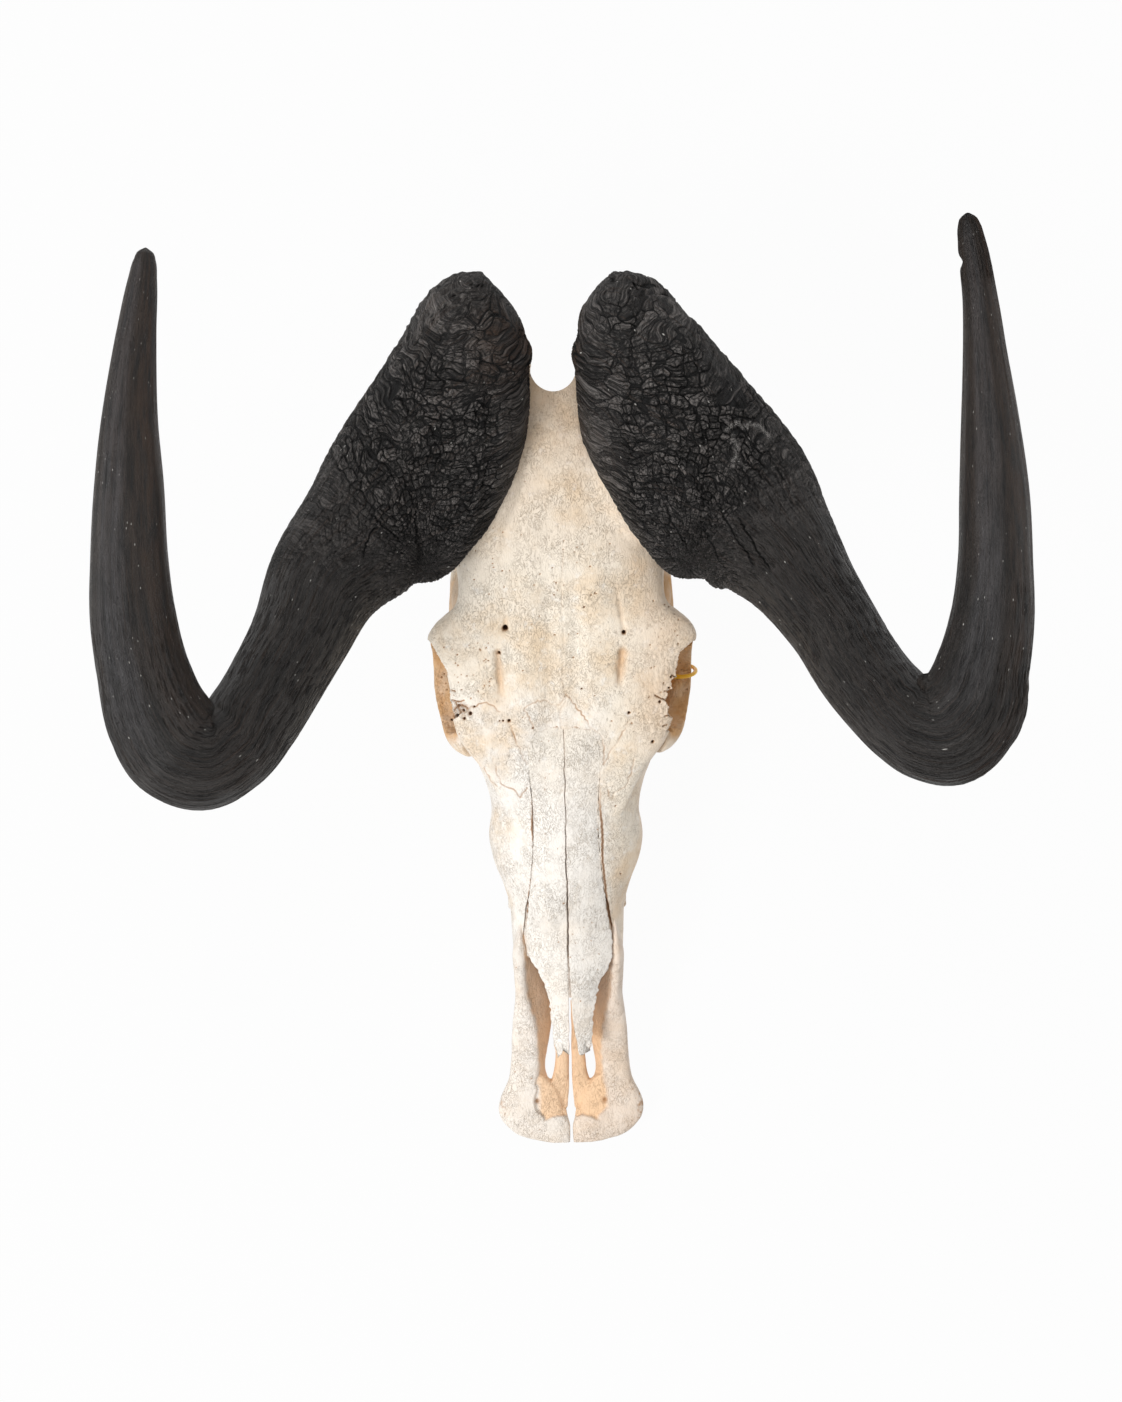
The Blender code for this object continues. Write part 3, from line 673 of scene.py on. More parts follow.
def stretched(tree, source, scale):
    """A vector multiplied part by part, to stretch a texture."""
    node = tree.nodes.new("ShaderNodeVectorMath")
    node.operation = "MULTIPLY"
    link(tree, source, node.inputs[0])
    node.inputs[1].default_value = scale
    return node.outputs[0]


def noise_node(tree, vector, scale, detail=3, roughness=0.55, distortion=0.0):
    node = tree.nodes.new("ShaderNodeTexNoise")
    link(tree, vector, node.inputs["Vector"])
    node.inputs["Scale"].default_value = scale
    node.inputs["Detail"].default_value = detail
    node.inputs["Roughness"].default_value = roughness
    node.inputs["Distortion"].default_value = distortion
    return node.outputs["Fac"]


def cell_node(tree, vector, scale, feature="F1", randomness=1.0):
    node = tree.nodes.new("ShaderNodeTexVoronoi")
    node.feature = feature
    link(tree, vector, node.inputs["Vector"])
    node.inputs["Scale"].default_value = scale
    node.inputs["Randomness"].default_value = randomness
    return node


def bump_node(tree, shader, layers):
    """Chain of bumps: height, strength and depth in metres for each."""
    normal = None
    for height, strength, depth in layers:
        node = tree.nodes.new("ShaderNodeBump")
        node.inputs["Strength"].default_value = strength
        node.inputs["Distance"].default_value = depth
        link(tree, height, node.inputs["Height"])
        if normal is not None:
            link(tree, normal, node.inputs["Normal"])
        normal = node.outputs["Normal"]
    link(tree, normal, shader.inputs["Normal"])


# Colours of the bone
IVORY = (0.87, 0.785, 0.665)
BLEACHED = (0.86, 0.815, 0.755)
GREY_STAIN_AND_CAST_SHADE = (0.50, 0.47, 0.43)
TAN = (0.62, 0.355, 0.155)
PEACH = (0.86, 0.56, 0.32)
# Browns for dark seams, also used as painted shade in holes, pores and gaps
DEEP_SEAM_AND_SHADE_BROWN = (0.045, 0.015, 0.005)
SEAM_AND_SHADE_BROWN = (0.40, 0.20, 0.08)
FURROW_BROWN = (0.46, 0.36, 0.25)
WARM_STAIN = (0.76, 0.57, 0.37)
MOTTLE = (0.64, 0.54, 0.42)
FLECK = (0.27, 0.21, 0.155)
CHALKY = (0.93, 0.89, 0.83)


def bone_grain(tree, place):
    """Fine worm-like furrows and lengthwise flecks of weathered bone."""
    worm = noise_node(tree, stretched(tree, place, (1, 0.55, 1)), 420, 2, 0.5, 1.8)
    furrow = math_node(tree, "ABSOLUTE", math_node(tree, "SUBTRACT", worm, 0.5), 0)
    furrow = ramp_node(tree, furrow, 0.0, 0.045, 1, 0)
    patch = ramp_node(tree, noise_node(tree, place, 60, 3, 0.6), 0.30, 0.66)
    return worm, math_node(tree, "MULTIPLY", furrow, patch)


def bone_material(name, fleck_strength, warmth):
    """Dry weathered bone: ivory, tan where stained and as painted shade, with dark seams and painted shade in
    pores and holes.
    """
    material, tree, shader = start_material(name, 0.62)
    place = tree.nodes.new("ShaderNodeTexCoord").outputs["Object"]
    broad = noise_node(tree, place, 26, 5, 0.62)
    warm = ramp_node(tree, broad, 0.42, 0.72, 0, warmth)
    base_here = mix_node(tree, value_node(tree, "pale").outputs["Fac"], IVORY, BLEACHED)
    colour = mix_node(tree, warm, base_here, WARM_STAIN)
    cloud = noise_node(tree, stretched(tree, place, (1, 0.45, 1)), 48, 5, 0.65)
    # Grey stain in clouds; on the front jaw the grey also carries a painted cast shadow
    grey = value_node(tree, "grey").outputs["Fac"]
    grey = math_node(tree, "MULTIPLY", ramp_node(tree, cloud, 0.52, 0.78), grey)
    colour = mix_node(tree, math_node(tree, "MULTIPLY", grey, 0.5), colour, GREY_STAIN_AND_CAST_SHADE)
    worm, furrow = bone_grain(tree, place)
    colour = mix_node(tree, math_node(tree, "MULTIPLY", furrow, 0.52), colour, FURROW_BROWN)
    mottle = noise_node(tree, stretched(tree, place, (1, 0.6, 1)), 120, 6, 0.7)
    colour = mix_node(tree, ramp_node(tree, mottle, 0.53, 0.70, 0, 0.28), colour, MOTTLE)
    streak = noise_node(tree, stretched(tree, place, (1, 0.4, 1)), 640, 2, 0.5)
    fleck = ramp_node(tree, streak, 0.60, 0.72)
    fleck = math_node(tree, "MULTIPLY", fleck, ramp_node(tree, cloud, 0.36, 0.60))
    fleck = math_node(tree, "MULTIPLY", fleck, fleck_strength)
    colour = mix_node(tree, fleck, colour, FLECK)
    chalky = ramp_node(tree, noise_node(tree, place, 150, 4, 0.6), 0.56, 0.72, 0, 0.55)
    colour = mix_node(tree, chalky, colour, CHALKY)
    tan = value_node(tree, "tan").outputs["Fac"]
    tan_noise = ramp_node(tree, noise_node(tree, place, 75, 4), 0.25, 0.75, 0.7, 1.2)
    colour = mix_node(tree, math_node(tree, "MULTIPLY", tan, tan_noise), colour, TAN)
    peach = value_node(tree, "peach").outputs["Fac"]
    colour = mix_node(tree, peach, colour, PEACH)
    # Dark seams, and painted shade in holes, pores, slits and gaps
    dark = value_node(tree, "dark").outputs["Fac"]
    colour = mix_node(tree, ramp_node(tree, dark, 0, 0.6, 0, 0.85), colour, SEAM_AND_SHADE_BROWN)
    colour = mix_node(tree, ramp_node(tree, dark, 0.45, 1), colour, DEEP_SEAM_AND_SHADE_BROWN)
    link(tree, colour, shader.inputs["Base Color"])
    grain = noise_node(tree, stretched(tree, place, (1, 0.35, 1)), 900, 3, 0.6)
    smooth = math_node(tree, "SUBTRACT", 1, furrow)
    bump_node(tree, shader, [(smooth, 0.7, 0.0005), (worm, 0.5, 0.0008), (grain, 0.45, 0.0004)])
    shader.inputs["Specular IOR Level"].default_value = 0.3
    return material


def warped_grain(tree, grain):
    """The pattern coordinates of the horn, bent by soft noise."""
    bend = tree.nodes.new("ShaderNodeTexNoise")
    link(tree, grain, bend.inputs["Vector"])
    bend.inputs["Scale"].default_value = 0.5
    bend.inputs["Detail"].default_value = 2.5
    warped = tree.nodes.new("ShaderNodeVectorMath")
    warped.operation = "MULTIPLY_ADD"
    link(tree, bend.outputs["Color"], warped.inputs[0])
    warped.inputs[1].default_value = (1.5, 1.3, 0)
    link(tree, grain, warped.inputs[2])
    return stretched(tree, warped.outputs[0], (1, 1, 0))


def crack_height(tree, grain):
    """Cracks round the small keratin blocks of the boss, 0 to 1, and the swell of the blocks."""
    warped = warped_grain(tree, grain)
    large = cell_node(tree, warped, 1.0, "DISTANCE_TO_EDGE", 0.5)
    small = cell_node(tree, stretched(tree, warped, (0.9, 1.2, 1)), 2.0, "DISTANCE_TO_EDGE", 0.75)
    parts = tree.nodes.new("ShaderNodeSeparateXYZ")
    link(tree, warped, parts.inputs[0])
    row = math_node(tree, "PINGPONG", math_node(tree, "MULTIPLY", parts.outputs["X"], 0.8), 0.5)
    row_here = ramp_node(tree, noise_node(tree, grain, 0.35, 2, 0.5), 0.45, 0.62)
    row_line = math_node(tree, "MULTIPLY", ramp_node(tree, row, 0.015, 0.085, 1, 0), row_here)
    wide = ramp_node(tree, large.outputs["Distance"], 0.016, 0.095, 1, 0)
    open_cracks = ramp_node(tree, noise_node(tree, grain, 0.22, 3, 0.5), 0.32, 0.58, 0.35, 1)
    wide = math_node(tree, "MULTIPLY", wide, open_cracks)
    fine = ramp_node(tree, small.outputs["Distance"], 0.01, 0.08, 0.55, 0)
    crack = math_node(tree, "MAXIMUM", math_node(tree, "MAXIMUM", wide, row_line), fine)
    swell = ramp_node(tree, large.outputs["Distance"], 0.0, 0.42)
    return crack, swell


# Colours of the horn
HORN_DARK = (0.0095, 0.0086, 0.0082)
HORN_LIGHT = (0.046, 0.040, 0.036)
# Pale grey of the block tops: the keratin's own grey, partly a painted highlight
BLOCK_LIGHT = (0.24, 0.218, 0.205)
HORN_CRACK = (0.0016, 0.0013, 0.0011)
HORN_BROWN = (0.062, 0.030, 0.014)
HORN_PAINTED_SHEEN = (0.088, 0.087, 0.092)
HORN_SCUFF = (0.12, 0.098, 0.08)
SPECK = (0.62, 0.60, 0.56)
CHALK = (0.36, 0.34, 0.32)


def horn_colour(tree, grain, fibre_place, boss):
    """Black with paler fibres, browner in places, each block a shade of its own with the palest partly a
    painted highlight, and a painted highlight along the prongs.
    """
    fibre = noise_node(tree, stretched(tree, fibre_place, (0.5, 6.5, 1)), 2.2, 5, 0.68, 0.3)
    broad = noise_node(tree, stretched(tree, fibre_place, (0.10, 2.0, 1)), 2.2, 3, 0.6)
    cloud = noise_node(tree, stretched(tree, fibre_place, (0.5, 0.7, 1)), 0.8, 4, 0.6)
    tone = weighted_sum(tree, [(fibre, 0.45), (cloud, 0.35), (broad, 0.2)])
    shaft = mix_node(tree, ramp_node(tree, tone, 0.40, 0.64), HORN_DARK, HORN_LIGHT)
    cell = cell_node(tree, warped_grain(tree, grain), 1.0, "F1", 0.5)
    shade = weighted_sum(tree, [(cell.outputs["Color"], 0.2), (noise_node(tree, grain, 4.5, 5, 0.75), 1.0)])
    block = mix_node(tree, ramp_node(tree, shade, 0.50, 0.86), HORN_DARK, BLOCK_LIGHT)
    colour = mix_node(tree, boss, shaft, block)
    brown_fibre = noise_node(tree, stretched(tree, fibre_place, (0.16, 3.4, 1)), 1.4, 3, 0.6)
    brown = math_node(tree, "MULTIPLY", ramp_node(tree, brown_fibre, 0.50, 0.75), 0.4)
    colour = mix_node(tree, brown, colour, HORN_BROWN)
    # Painted highlight: a paler bluish band along the prongs
    painted_sheen = value_node(tree, "painted_sheen").outputs["Fac"]
    painted_sheen = math_node(tree, "MULTIPLY", painted_sheen, ramp_node(tree, tone, 0.36, 0.60))
    colour = mix_node(tree, painted_sheen, colour, HORN_PAINTED_SHEEN)
    tint = value_node(tree, "brown").outputs["Fac"]
    tint = math_node(tree, "MULTIPLY", tint, ramp_node(tree, cloud, 0.3, 0.62))
    return mix_node(tree, tint, colour, HORN_BROWN), fibre


def horn_material(name):
    """Black keratin: cracked blocks on the boss, fibres and scratches on the shaft."""
    material, tree, shader = start_material(name, 0.5)
    grain = value_node(tree, "grain").outputs["Vector"]
    fibre_place = value_node(tree, "along").outputs["Vector"]
    boss = value_node(tree, "boss").outputs["Fac"]
    colour, fibre = horn_colour(tree, grain, fibre_place, boss)
    crack, swell = crack_height(tree, grain)
    crack = math_node(tree, "MULTIPLY", crack, value_node(tree, "cracks").outputs["Fac"])
    split = value_node(tree, "split").outputs["Fac"]
    crack = math_node(tree, "MAXIMUM", crack, split)
    colour = mix_node(tree, ramp_node(tree, crack, 0.10, 0.52), colour, HORN_CRACK)
    gap = noise_node(tree, stretched(tree, fibre_place, (0.30, 3.6, 1)), 3.4, 2, 0.5)
    fibres = value_node(tree, "fibre").outputs["Fac"]
    gap = math_node(tree, "MULTIPLY", fibres, ramp_node(tree, gap, 0.60, 0.70))
    colour = mix_node(tree, gap, colour, HORN_CRACK)
    speck = cell_node(tree, fibre_place, 1.05)
    dot = ramp_node(tree, speck.outputs["Distance"], 0.045, 0.085, 1, 0)
    chosen = math_node(tree, "GREATER_THAN", speck.outputs["Color"], 0.42)
    colour = mix_node(tree, math_node(tree, "MULTIPLY", dot, chosen), colour, SPECK)
    scratch = noise_node(tree, stretched(tree, fibre_place, (0.7, 2.0, 1)), 5.2, 4, 0.7, 0.8)
    scratch = math_node(tree, "MULTIPLY", ramp_node(tree, scratch, 0.60, 0.72), 0.6)
    colour = mix_node(tree, scratch, colour, HORN_SCUFF)
    chalk = value_node(tree, "chalk").outputs["Fac"]
    chalk_noise = ramp_node(tree, noise_node(tree, fibre_place, 16, 3, 0.7), 0.47, 0.56)
    colour = mix_node(tree, math_node(tree, "MULTIPLY", chalk, chalk_noise), colour, CHALK)
    link(tree, colour, shader.inputs["Base Color"])
    rough = mix_node(tree, boss, (0.40, 0.40, 0.40), (0.66, 0.66, 0.66))
    link(tree, rough, shader.inputs["Roughness"])
    shader.inputs["Specular IOR Level"].default_value = 0.36
    pits = noise_node(tree, fibre_place, 7, 3, 0.6)
    depth = math_node(tree, "SUBTRACT", 1, crack)
    bump_node(tree, shader, [(depth, 1.0, 0.0026), (fibre, 0.8, 0.0018), (pits, 0.7, 0.0012)])
    return material


LINE_DARK = (0.78, 0.36, 0.008)
LINE_LIGHT = (0.92, 0.52, 0.015)


def line_material(name):
    """Yellow plastic line, slightly clear."""
    material, tree, shader = start_material(name, 0.35)
    place = tree.nodes.new("ShaderNodeTexCoord").outputs["Object"]
    shade = noise_node(tree, place, 260, 3)
    colour = mix_node(tree, shade, LINE_DARK, LINE_LIGHT)
    link(tree, colour, shader.inputs["Base Color"])
    bump_node(tree, shader, [(noise_node(tree, place, 900, 2), 0.15, 0.0002)])
    shader.inputs["Subsurface Weight"].default_value = 0.1
    return material


# Skull

VOXEL = 1.1
JAW_VOXEL = 0.62
LOWEST_Z = 0.02


def skull_solids():
    solids = [
        loft_along_y("roof", ROOF),
        loft_along_y("face", FACE, squareness=0.88),
        loft_along_y("occiput", OCCIPUT),
        loft_along_y("base", BASE, squareness=0.8),
        ellipsoid("braincase", BRAINCASE, 1),
    ]
    for side in (-1, 1):
        solids.append(bar("socket_rim", SOCKET_RIM, side))
        solids.append(bar("ear_process", EAR_PROCESS, side))
        solids.append(bar("palate_wing", PALATE_WING, side))
        solids.append(ellipsoid("pedicle", PEDICLE, side))
        solids.append(ellipsoid("temple_knob", TEMPLE_KNOB, side))
        solids.append(ellipsoid("condyle", CONDYLE, side))
        solids.append(ellipsoid("bulla", BULLA, side))
    return solids


def skull_hollows():
    hollows = [
        loft_along_y("palate_hollow", PALATE_HOLLOW, squareness=0.8),
        loft_along_y("throat_hollow", THROAT_HOLLOW, squareness=0.8),
        loft_along_y("nose_hollow", NOSE_HOLLOW, squareness=0.8),
        ellipsoid("foramen_magnum", FORAMEN_MAGNUM, 1),
    ]
    for side in (-1, 1):
        hollows.append(ellipsoid("orbit", ORBIT, side))
        hollows.append(ellipsoid("temple", TEMPLE_HOLLOW, side))
    return hollows


def tooth(name, y, length, width, side):
    """Cheek tooth with two lobes, worn flat."""
    sides = 36
    across, along = rounded_section(sides, 0.6)
    lobes = 1 - 0.24 * np.exp(-((along / 0.2) ** 2)) * np.abs(across)
    rings = []
    for height, scale in ((0.05, 0.90), (0.8, 0.97), (6, 1), (16, 0.98), (TOOTH_ROOT_Z, 0.88)):
        x = side * (TOOTH_ROW_X + width / 2 * scale * across * lobes)
        rings.append(np.stack([x, y + length / 2 * scale * along, np.full(sides, height)], axis=1))
    return loft(name, rings)


def tooth_row(side):
    row = []
    y = TOOTH_ROW_START
    for length, width in TEETH:
        row.append(tooth("tooth", y + length / 2, length - TOOTH_SPACE, width, side))
        y += length
    return row


def nasal_drop(y):
    return column_at(NASAL_DROPS, y, 1)


def nasal_plate(name, side, count=150, sides=22):
    """Nose bone: a thin arched plate that ends free over the nostrils."""
    rings = []
    for y, outer, top, inner in resample(NASAL_LEFT if side < 0 else NASAL_RIGHT, count):
        x = np.linspace(inner, outer, sides)
        upper = top - nasal_drop(y) * (x / outer) ** 2
        under = upper - NASAL_THICKNESS
        ring_x = np.concatenate([x, x[::-1]])
        ring_z = np.concatenate([upper, under[::-1]])
        rings.append(np.stack([side * ring_x, np.full(2 * sides, y), ring_z], axis=1))
    return loft(name, rings)


def nasal_cut(side):
    """Space of the nose bone in the skull, wider where the side crack stands open."""
    rings = []
    rows = resample(NASAL_LEFT if side < 0 else NASAL_RIGHT, 150)
    for y, outer, top, inner in rows[(rows[:, 0] > -182) & (rows[:, 0] < -17)]:
        gap = -0.1 + 1.6 * smoothstep(-112, -122, y)
        x = np.linspace(-0.4, outer + gap, 22)
        under = top - nasal_drop(y) * (x / outer) ** 2 - NASAL_THICKNESS - 0.4
        ring_x = np.concatenate([x, x[::-1]])
        ring_z = np.concatenate([np.full(22, top + 6), under[::-1]])
        rings.append(np.stack([side * ring_x, np.full(44, y), ring_z], axis=1))
    rings = np.array(rings)
    rings[0, :, 1] += 0.3
    return loft("nasal_cut", rings)


def rear_bay():
    angle = np.arange(60) * 2 * math.pi / 60
    x = REAR_BAY_CENTRE[0] + REAR_BAY_RADII[0] * np.cos(angle)
    y = REAR_BAY_CENTRE[1] + REAR_BAY_RADII[1] * np.sin(angle)
    rings = [np.stack([x, y, np.full(60, z)], axis=1) for z in (70, 90, 110, 130, 150, 170)]
    return loft("rear_bay", rings)


def socket_edge_cut(side):
    """What is broken off the roof outside the ragged edge of an eye socket."""
    line = SOCKET_EDGE_LEFT_PX if side < 0 else SOCKET_EDGE_RIGHT_PX
    fine = np.array([(np.interp(py, [p[1] for p in line], [p[0] for p in line]), py)
                     for py in np.arange(line[0][1], line[-1][1], 0.7)])
    fine[:, 0] += np.random.default_rng(20 + side).uniform(-0.55, 0.55, len(fine))
    edge = from_pixels(fine, 116)
    rings = []
    for x, y in edge:
        rings.append([(x, y, 100), (side * 95, y, 100), (side * 95, y, 142), (x - side * 0.8, y, 142)])
    return loft("socket_edge_cut", rings)


def jaw_bar(side, count=220, sides=48):
    """Side bar of the front jaw: a rounded ridge with an inner wall that slopes into the nose."""
    rings = []
    for y, outer, ridge, foot, top, foot_z, under in resample(JAW_BAR, count):
        corners = np.array([
            (outer, 0.45 * top + 0.55 * under), (outer - 1.2, top - 2.5), ((outer + ridge) / 2, top),
            (ridge + 0.4, top - 0.8), (ridge - 0.8, top - 2.6), (foot, foot_z), (foot + 1.4, foot_z - 3.5),
            ((outer + ridge) / 2, under), (outer - 1.5, under + 1.5),
        ])
        closed = np.concatenate([corners, corners[:1]])
        ring = read_rows(closed, np.linspace(0, row_lengths(closed)[-1], sides + 1)[:-1])
        rings.append(np.stack([side * ring[:, 0], np.full(sides, y), ring[:, 1]], axis=1))
    return loft("jaw_bar", rings)


def flat_bar(name, rows, side, count):
    """Bar with rounded box sections between an inner and an outer edge."""
    across, upright = rounded_section(40, 0.6)
    rings = []
    for y, inner, outer, top, underside in resample(rows, count):
        x = (inner + outer) / 2 + (outer - inner) / 2 * across
        z = (top + underside) / 2 + (top - underside) / 2 * upright
        rings.append(np.stack([side * x, np.full(len(x), y), z], axis=1))
    return loft(name, rings)


def scatter_pores(pixel, seed, count, low, high):
    """Small holes at seeded random places inside a box of the photo."""
    random = np.random.default_rng(seed)
    spots = random.uniform(low, high, (count, 2))
    sizes = random.uniform(0.3, 0.6, count)
    depth = np.zeros(len(pixel))
    for spot, size in zip(spots, sizes):
        near = np.abs(pixel - spot).max(axis=1) < 5
        gap = np.linalg.norm(pixel[near] - spot, axis=1) * PIXEL_MM
        depth[near] = np.maximum(depth[near], np.exp(-((gap / size) ** 4)))
    return depth


def ragged_socket_edge(points):
    """Break the upper rim of each eye socket into small teeth."""
    x, y, z = points.T
    across = np.abs(x)
    near = smoothstep(57, 62, across) * smoothstep(76, 72, across) * smoothstep(104, 110, z)
    near *= smoothstep(-28, -22, y) * smoothstep(26, 16, y)
    teeth = noise(np.stack([y, np.sign(x) * 40, z * 0.2], axis=1), 3.2, 5, 2)
    broad = noise(np.stack([y, np.sign(x) * 70, z * 0], axis=1), 11, 6)
    shift = near * (0.7 * teeth + 0.4 * broad)
    points[:, 0] += np.sign(x) * shift
    return points


def brow_relief(points, facing):
    """Low swellings of the brows and the crust round the eye sockets."""
    y = points[:, 1]
    across = np.abs(points[:, 0])
    crust = smoothstep(40, 52, across) * smoothstep(-30, -20, y) * smoothstep(45, 25, y)
    brow = smoothstep(-30, -5, y) * smoothstep(90, 55, y) * facing
    lift = 0.28 * noise(points, 11, 1, 2) + 0.10 * noise(points, (2.2, 3.6, 2.2), 2, 2)
    lift += facing * crust * (0.9 * np.abs(noise(points, 3.0, 3, 2)) - 0.3)
    lift += brow * 1.1 * np.exp(-(((across - 20) / 9) ** 2))
    return lift - brow * 0.9 * np.exp(-(((across - 8) / 5) ** 2))


def grooves(points, pixel, facing):
    """Depth of the forehead grooves, and how much tan each gets, as staining and as painted shade that grows
    with its depth.
    """
    sink = np.zeros(len(points))
    stain_and_painted_shade = np.zeros(len(points))
    for line, half_width, depth in GROOVES_PX:
        gap, along = line_distance(pixel, wander(line, 0.8, 31, 9), 14)
        fade = smoothstep(1.0, 0.45, along) if len(line) > 3 else smoothstep(0, 0.8, along)
        ragged = half_width * (0.75 + 0.35 * noise(points, 5, 32))
        groove = facing * fade * np.exp(-((gap * PIXEL_MM / ragged) ** 2))
        sink += depth * groove
        stain_and_painted_shade = np.maximum(stain_and_painted_shade, groove * min(1, depth / 2.4))
    return sink, stain_and_painted_shade


def seams(points, pixel, facing):
    """Depth and darkness of the seams that wander between the bones."""
    sink = np.zeros(len(points))
    dark = np.zeros(len(points))
    for seed, (name, line) in enumerate(SEAMS_PX.items(), 12):
        straight = name == "forehead"
        gap, _ = line_distance(pixel, wander(line, 0.5 if straight else 1.1, seed), 8)
        gap = gap * PIXEL_MM
        broken = 0.55 + 0.45 * noise(points, 5, seed)
        sink += facing * 0.35 * np.exp(-((gap / 0.6) ** 2))
        strength = 0.26 if straight else 0.62
        dark = np.maximum(dark, facing * strength * broken * np.exp(-((gap / 0.5) ** 2)))
    return sink, dark


def openings(points, pixel, facing):
    """Depth and darkness of the vessel holes, slits, porous patch, pores and side cracks; the darkness is
    painted shade inside the openings, and a dark seam with painted shade along the side cracks.
    """
    crest = facing * smoothstep(103, 108, points[:, 2])
    porous = crest * spot(pixel, POROUS_PX, 2) * smoothstep(0.05, 0.35, np.abs(noise(points, 1.5, 9)))
    sink = 0.9 * porous
    dark = 0.36 * porous
    for line in SLITS_PX:
        gap, along = line_distance(pixel, wander(line, 0.3, 78), 6)
        slit = crest * smoothstep(1.05, 0.35, gap) * smoothstep(1, 0.8, along)
        sink += 1.4 * slit
        dark = np.maximum(dark, 0.62 * slit)
    for px, py, radius, depth in HOLES_PX:
        gap = np.linalg.norm(pixel - (px, py), axis=1) * PIXEL_MM
        hole = facing * np.exp(-((gap / (0.8 * radius)) ** 4))
        sink += depth * 0.5 * hole
        dark = np.maximum(dark, smoothstep(0.15, 0.7, hole))
    for seed, count, low, high in PORES_PX:
        pores = scatter_pores(pixel, seed, count, low, high) * facing
        sink += 0.8 * pores
        dark = np.maximum(dark, 0.7 * smoothstep(0.3, 0.9, pores))
    for line in CRACKS_PX.values():
        gap, along = line_distance(pixel, wander(line, 0.5, 77), 10)
        dark = np.maximum(dark, 0.72 * smoothstep(0.05, 0.4, along) * smoothstep(1.7, 0.6, gap) * facing)
    return sink, dark


def sculpt_skull(body):
    """Raise and sink the fine forms of the bone and note its stains and painted shade."""
    points, normals = read_points(body)
    points = ragged_socket_edge(points)
    pixel = to_pixels(points)
    facing = smoothstep(0.05, 0.45, normals[:, 2])
    groove_sink, groove_tan = grooves(points, pixel, facing)
    seam_sink, seam_dark = seams(points, pixel, facing)
    hole_sink, hole_dark = openings(points, pixel, facing)
    lift = brow_relief(points, facing) - groove_sink - seam_sink - hole_sink
    points += normals * lift[:, None]
    points[:, 2] = np.maximum(points[:, 2], LOWEST_Z)
    write_points(body, points)
    colour_skull(body, points, normals, facing, np.maximum(seam_dark, hole_dark), groove_tan)


def colour_skull(body, points, normals, facing, dark, groove_tan):
    """Tan in the hollows; tan as painted shade on steep faces, the right half and the undersides, and as
    staining and painted shade at the rear; grey where bleached; dark in seams, and painted shade in holes and
    gaps.
    """
    x, y, z = points.T
    across = np.abs(x)
    cloud = noise(points, 30, 21, 3)
    socket = np.linalg.norm((points * (np.sign(x)[:, None] ** (1, 0, 0)) - ORBIT[0]) / ORBIT[1], axis=1)
    in_socket = smoothstep(1.22, 1.06, socket) * smoothstep(117, 110, z)
    in_nose = smoothstep(1, 0, facing) * smoothstep(26.5, 24.5, across)
    in_nose *= smoothstep(-30, -60, y) * smoothstep(26, 34, z)
    # Painted shade: tan on faces that turn sideways or down (kept off the left side), on the right half of
    # the top and on the right of the muzzle; the rear gets tan as stain and painted shade
    sides = smoothstep(0.45, -0.1, normals[:, 2])
    rear = smoothstep(110, 175, y) * facing
    right = smoothstep(20, 60, x) * smoothstep(-60, -10, y) * facing
    strip = smoothstep(60, 64, across) * smoothstep(108, 102, z)
    strip *= smoothstep(-26, -18, y) * smoothstep(42, 32, y)
    pocket = smoothstep(56, 59, across) * smoothstep(134, 126, z)
    pocket *= smoothstep(48, 54, y) * smoothstep(76, 70, y)
    sides = sides * smoothstep(-30, 10, x)
    tan = 0.85 * np.maximum(in_socket, strip) + 0.55 * pocket + 0.34 * sides
    tan += 0.16 * smoothstep(60, 110, y) * facing + 0.20 * rear + 0.34 * right + 0.08 * cloud
    tan += 0.16 * smoothstep(-60, -130, y) * smoothstep(22, 30, x) * facing
    # Painted shade: tan on low faces that turn down, and in the grooves as stain and painted shade
    below = smoothstep(60, 20, z) * smoothstep(0.2, -0.4, normals[:, 2])
    tan += 0.15 * below + 0.45 * groove_tan
    teeth = smoothstep(20, 14, z) * smoothstep(21, 24, across)
    teeth *= smoothstep(-128, -124, y) * smoothstep(-24, -29, y)
    peach = 0.75 * in_nose
    edge = column_at(NASAL_RIGHT, y, 1)
    level = column_at(NASAL_RIGHT, y, 2)
    sink = level - nasal_drop(y) * (across / edge) ** 2 - z
    # Painted shade: dark in the slot beside the nose bone, below its top; the tan there is stain and painted
    # shade
    in_slot = (across < edge + 2) & (y < -12) & (sink > 0.8) & (sink < 9) & (normals[:, 2] < 0.5)
    dark = np.maximum(dark, 0.32 * in_slot * smoothstep(-190, -150, y) * smoothstep(-75, -112, y))
    tan = np.maximum(tan, 0.8 * in_slot * smoothstep(-100, -118, y))
    pale = smoothstep(25, -25, y) * smoothstep(34, 12, x)
    write_values(body, "pale", pale)
    # Painted shade darkens the gaps between the teeth; the noise marks on the teeth are stain
    gaps = TOOTH_ROW_START + np.cumsum([0] + [length for length, width in TEETH])
    between = np.exp(-((y[:, None] - gaps) ** 2).min(axis=1) / 1.2)
    stain_and_painted_shade = teeth * np.maximum(0.45 * between, 0.25 * smoothstep(0.1, 0.5, noise(points, (3, 3, 9), 23, 2)))
    dark = np.maximum(dark, stain_and_painted_shade)
    write_values(body, "tan", np.clip(tan * (1 - 0.5 * teeth), 0, 1))
    write_values(body, "peach", np.clip(peach, 0, 1))
    write_values(body, "dark", np.clip(dark, 0, 1))
    write_values(body, "grey", np.clip(0.75 + 0.5 * cloud - tan, 0, 1))


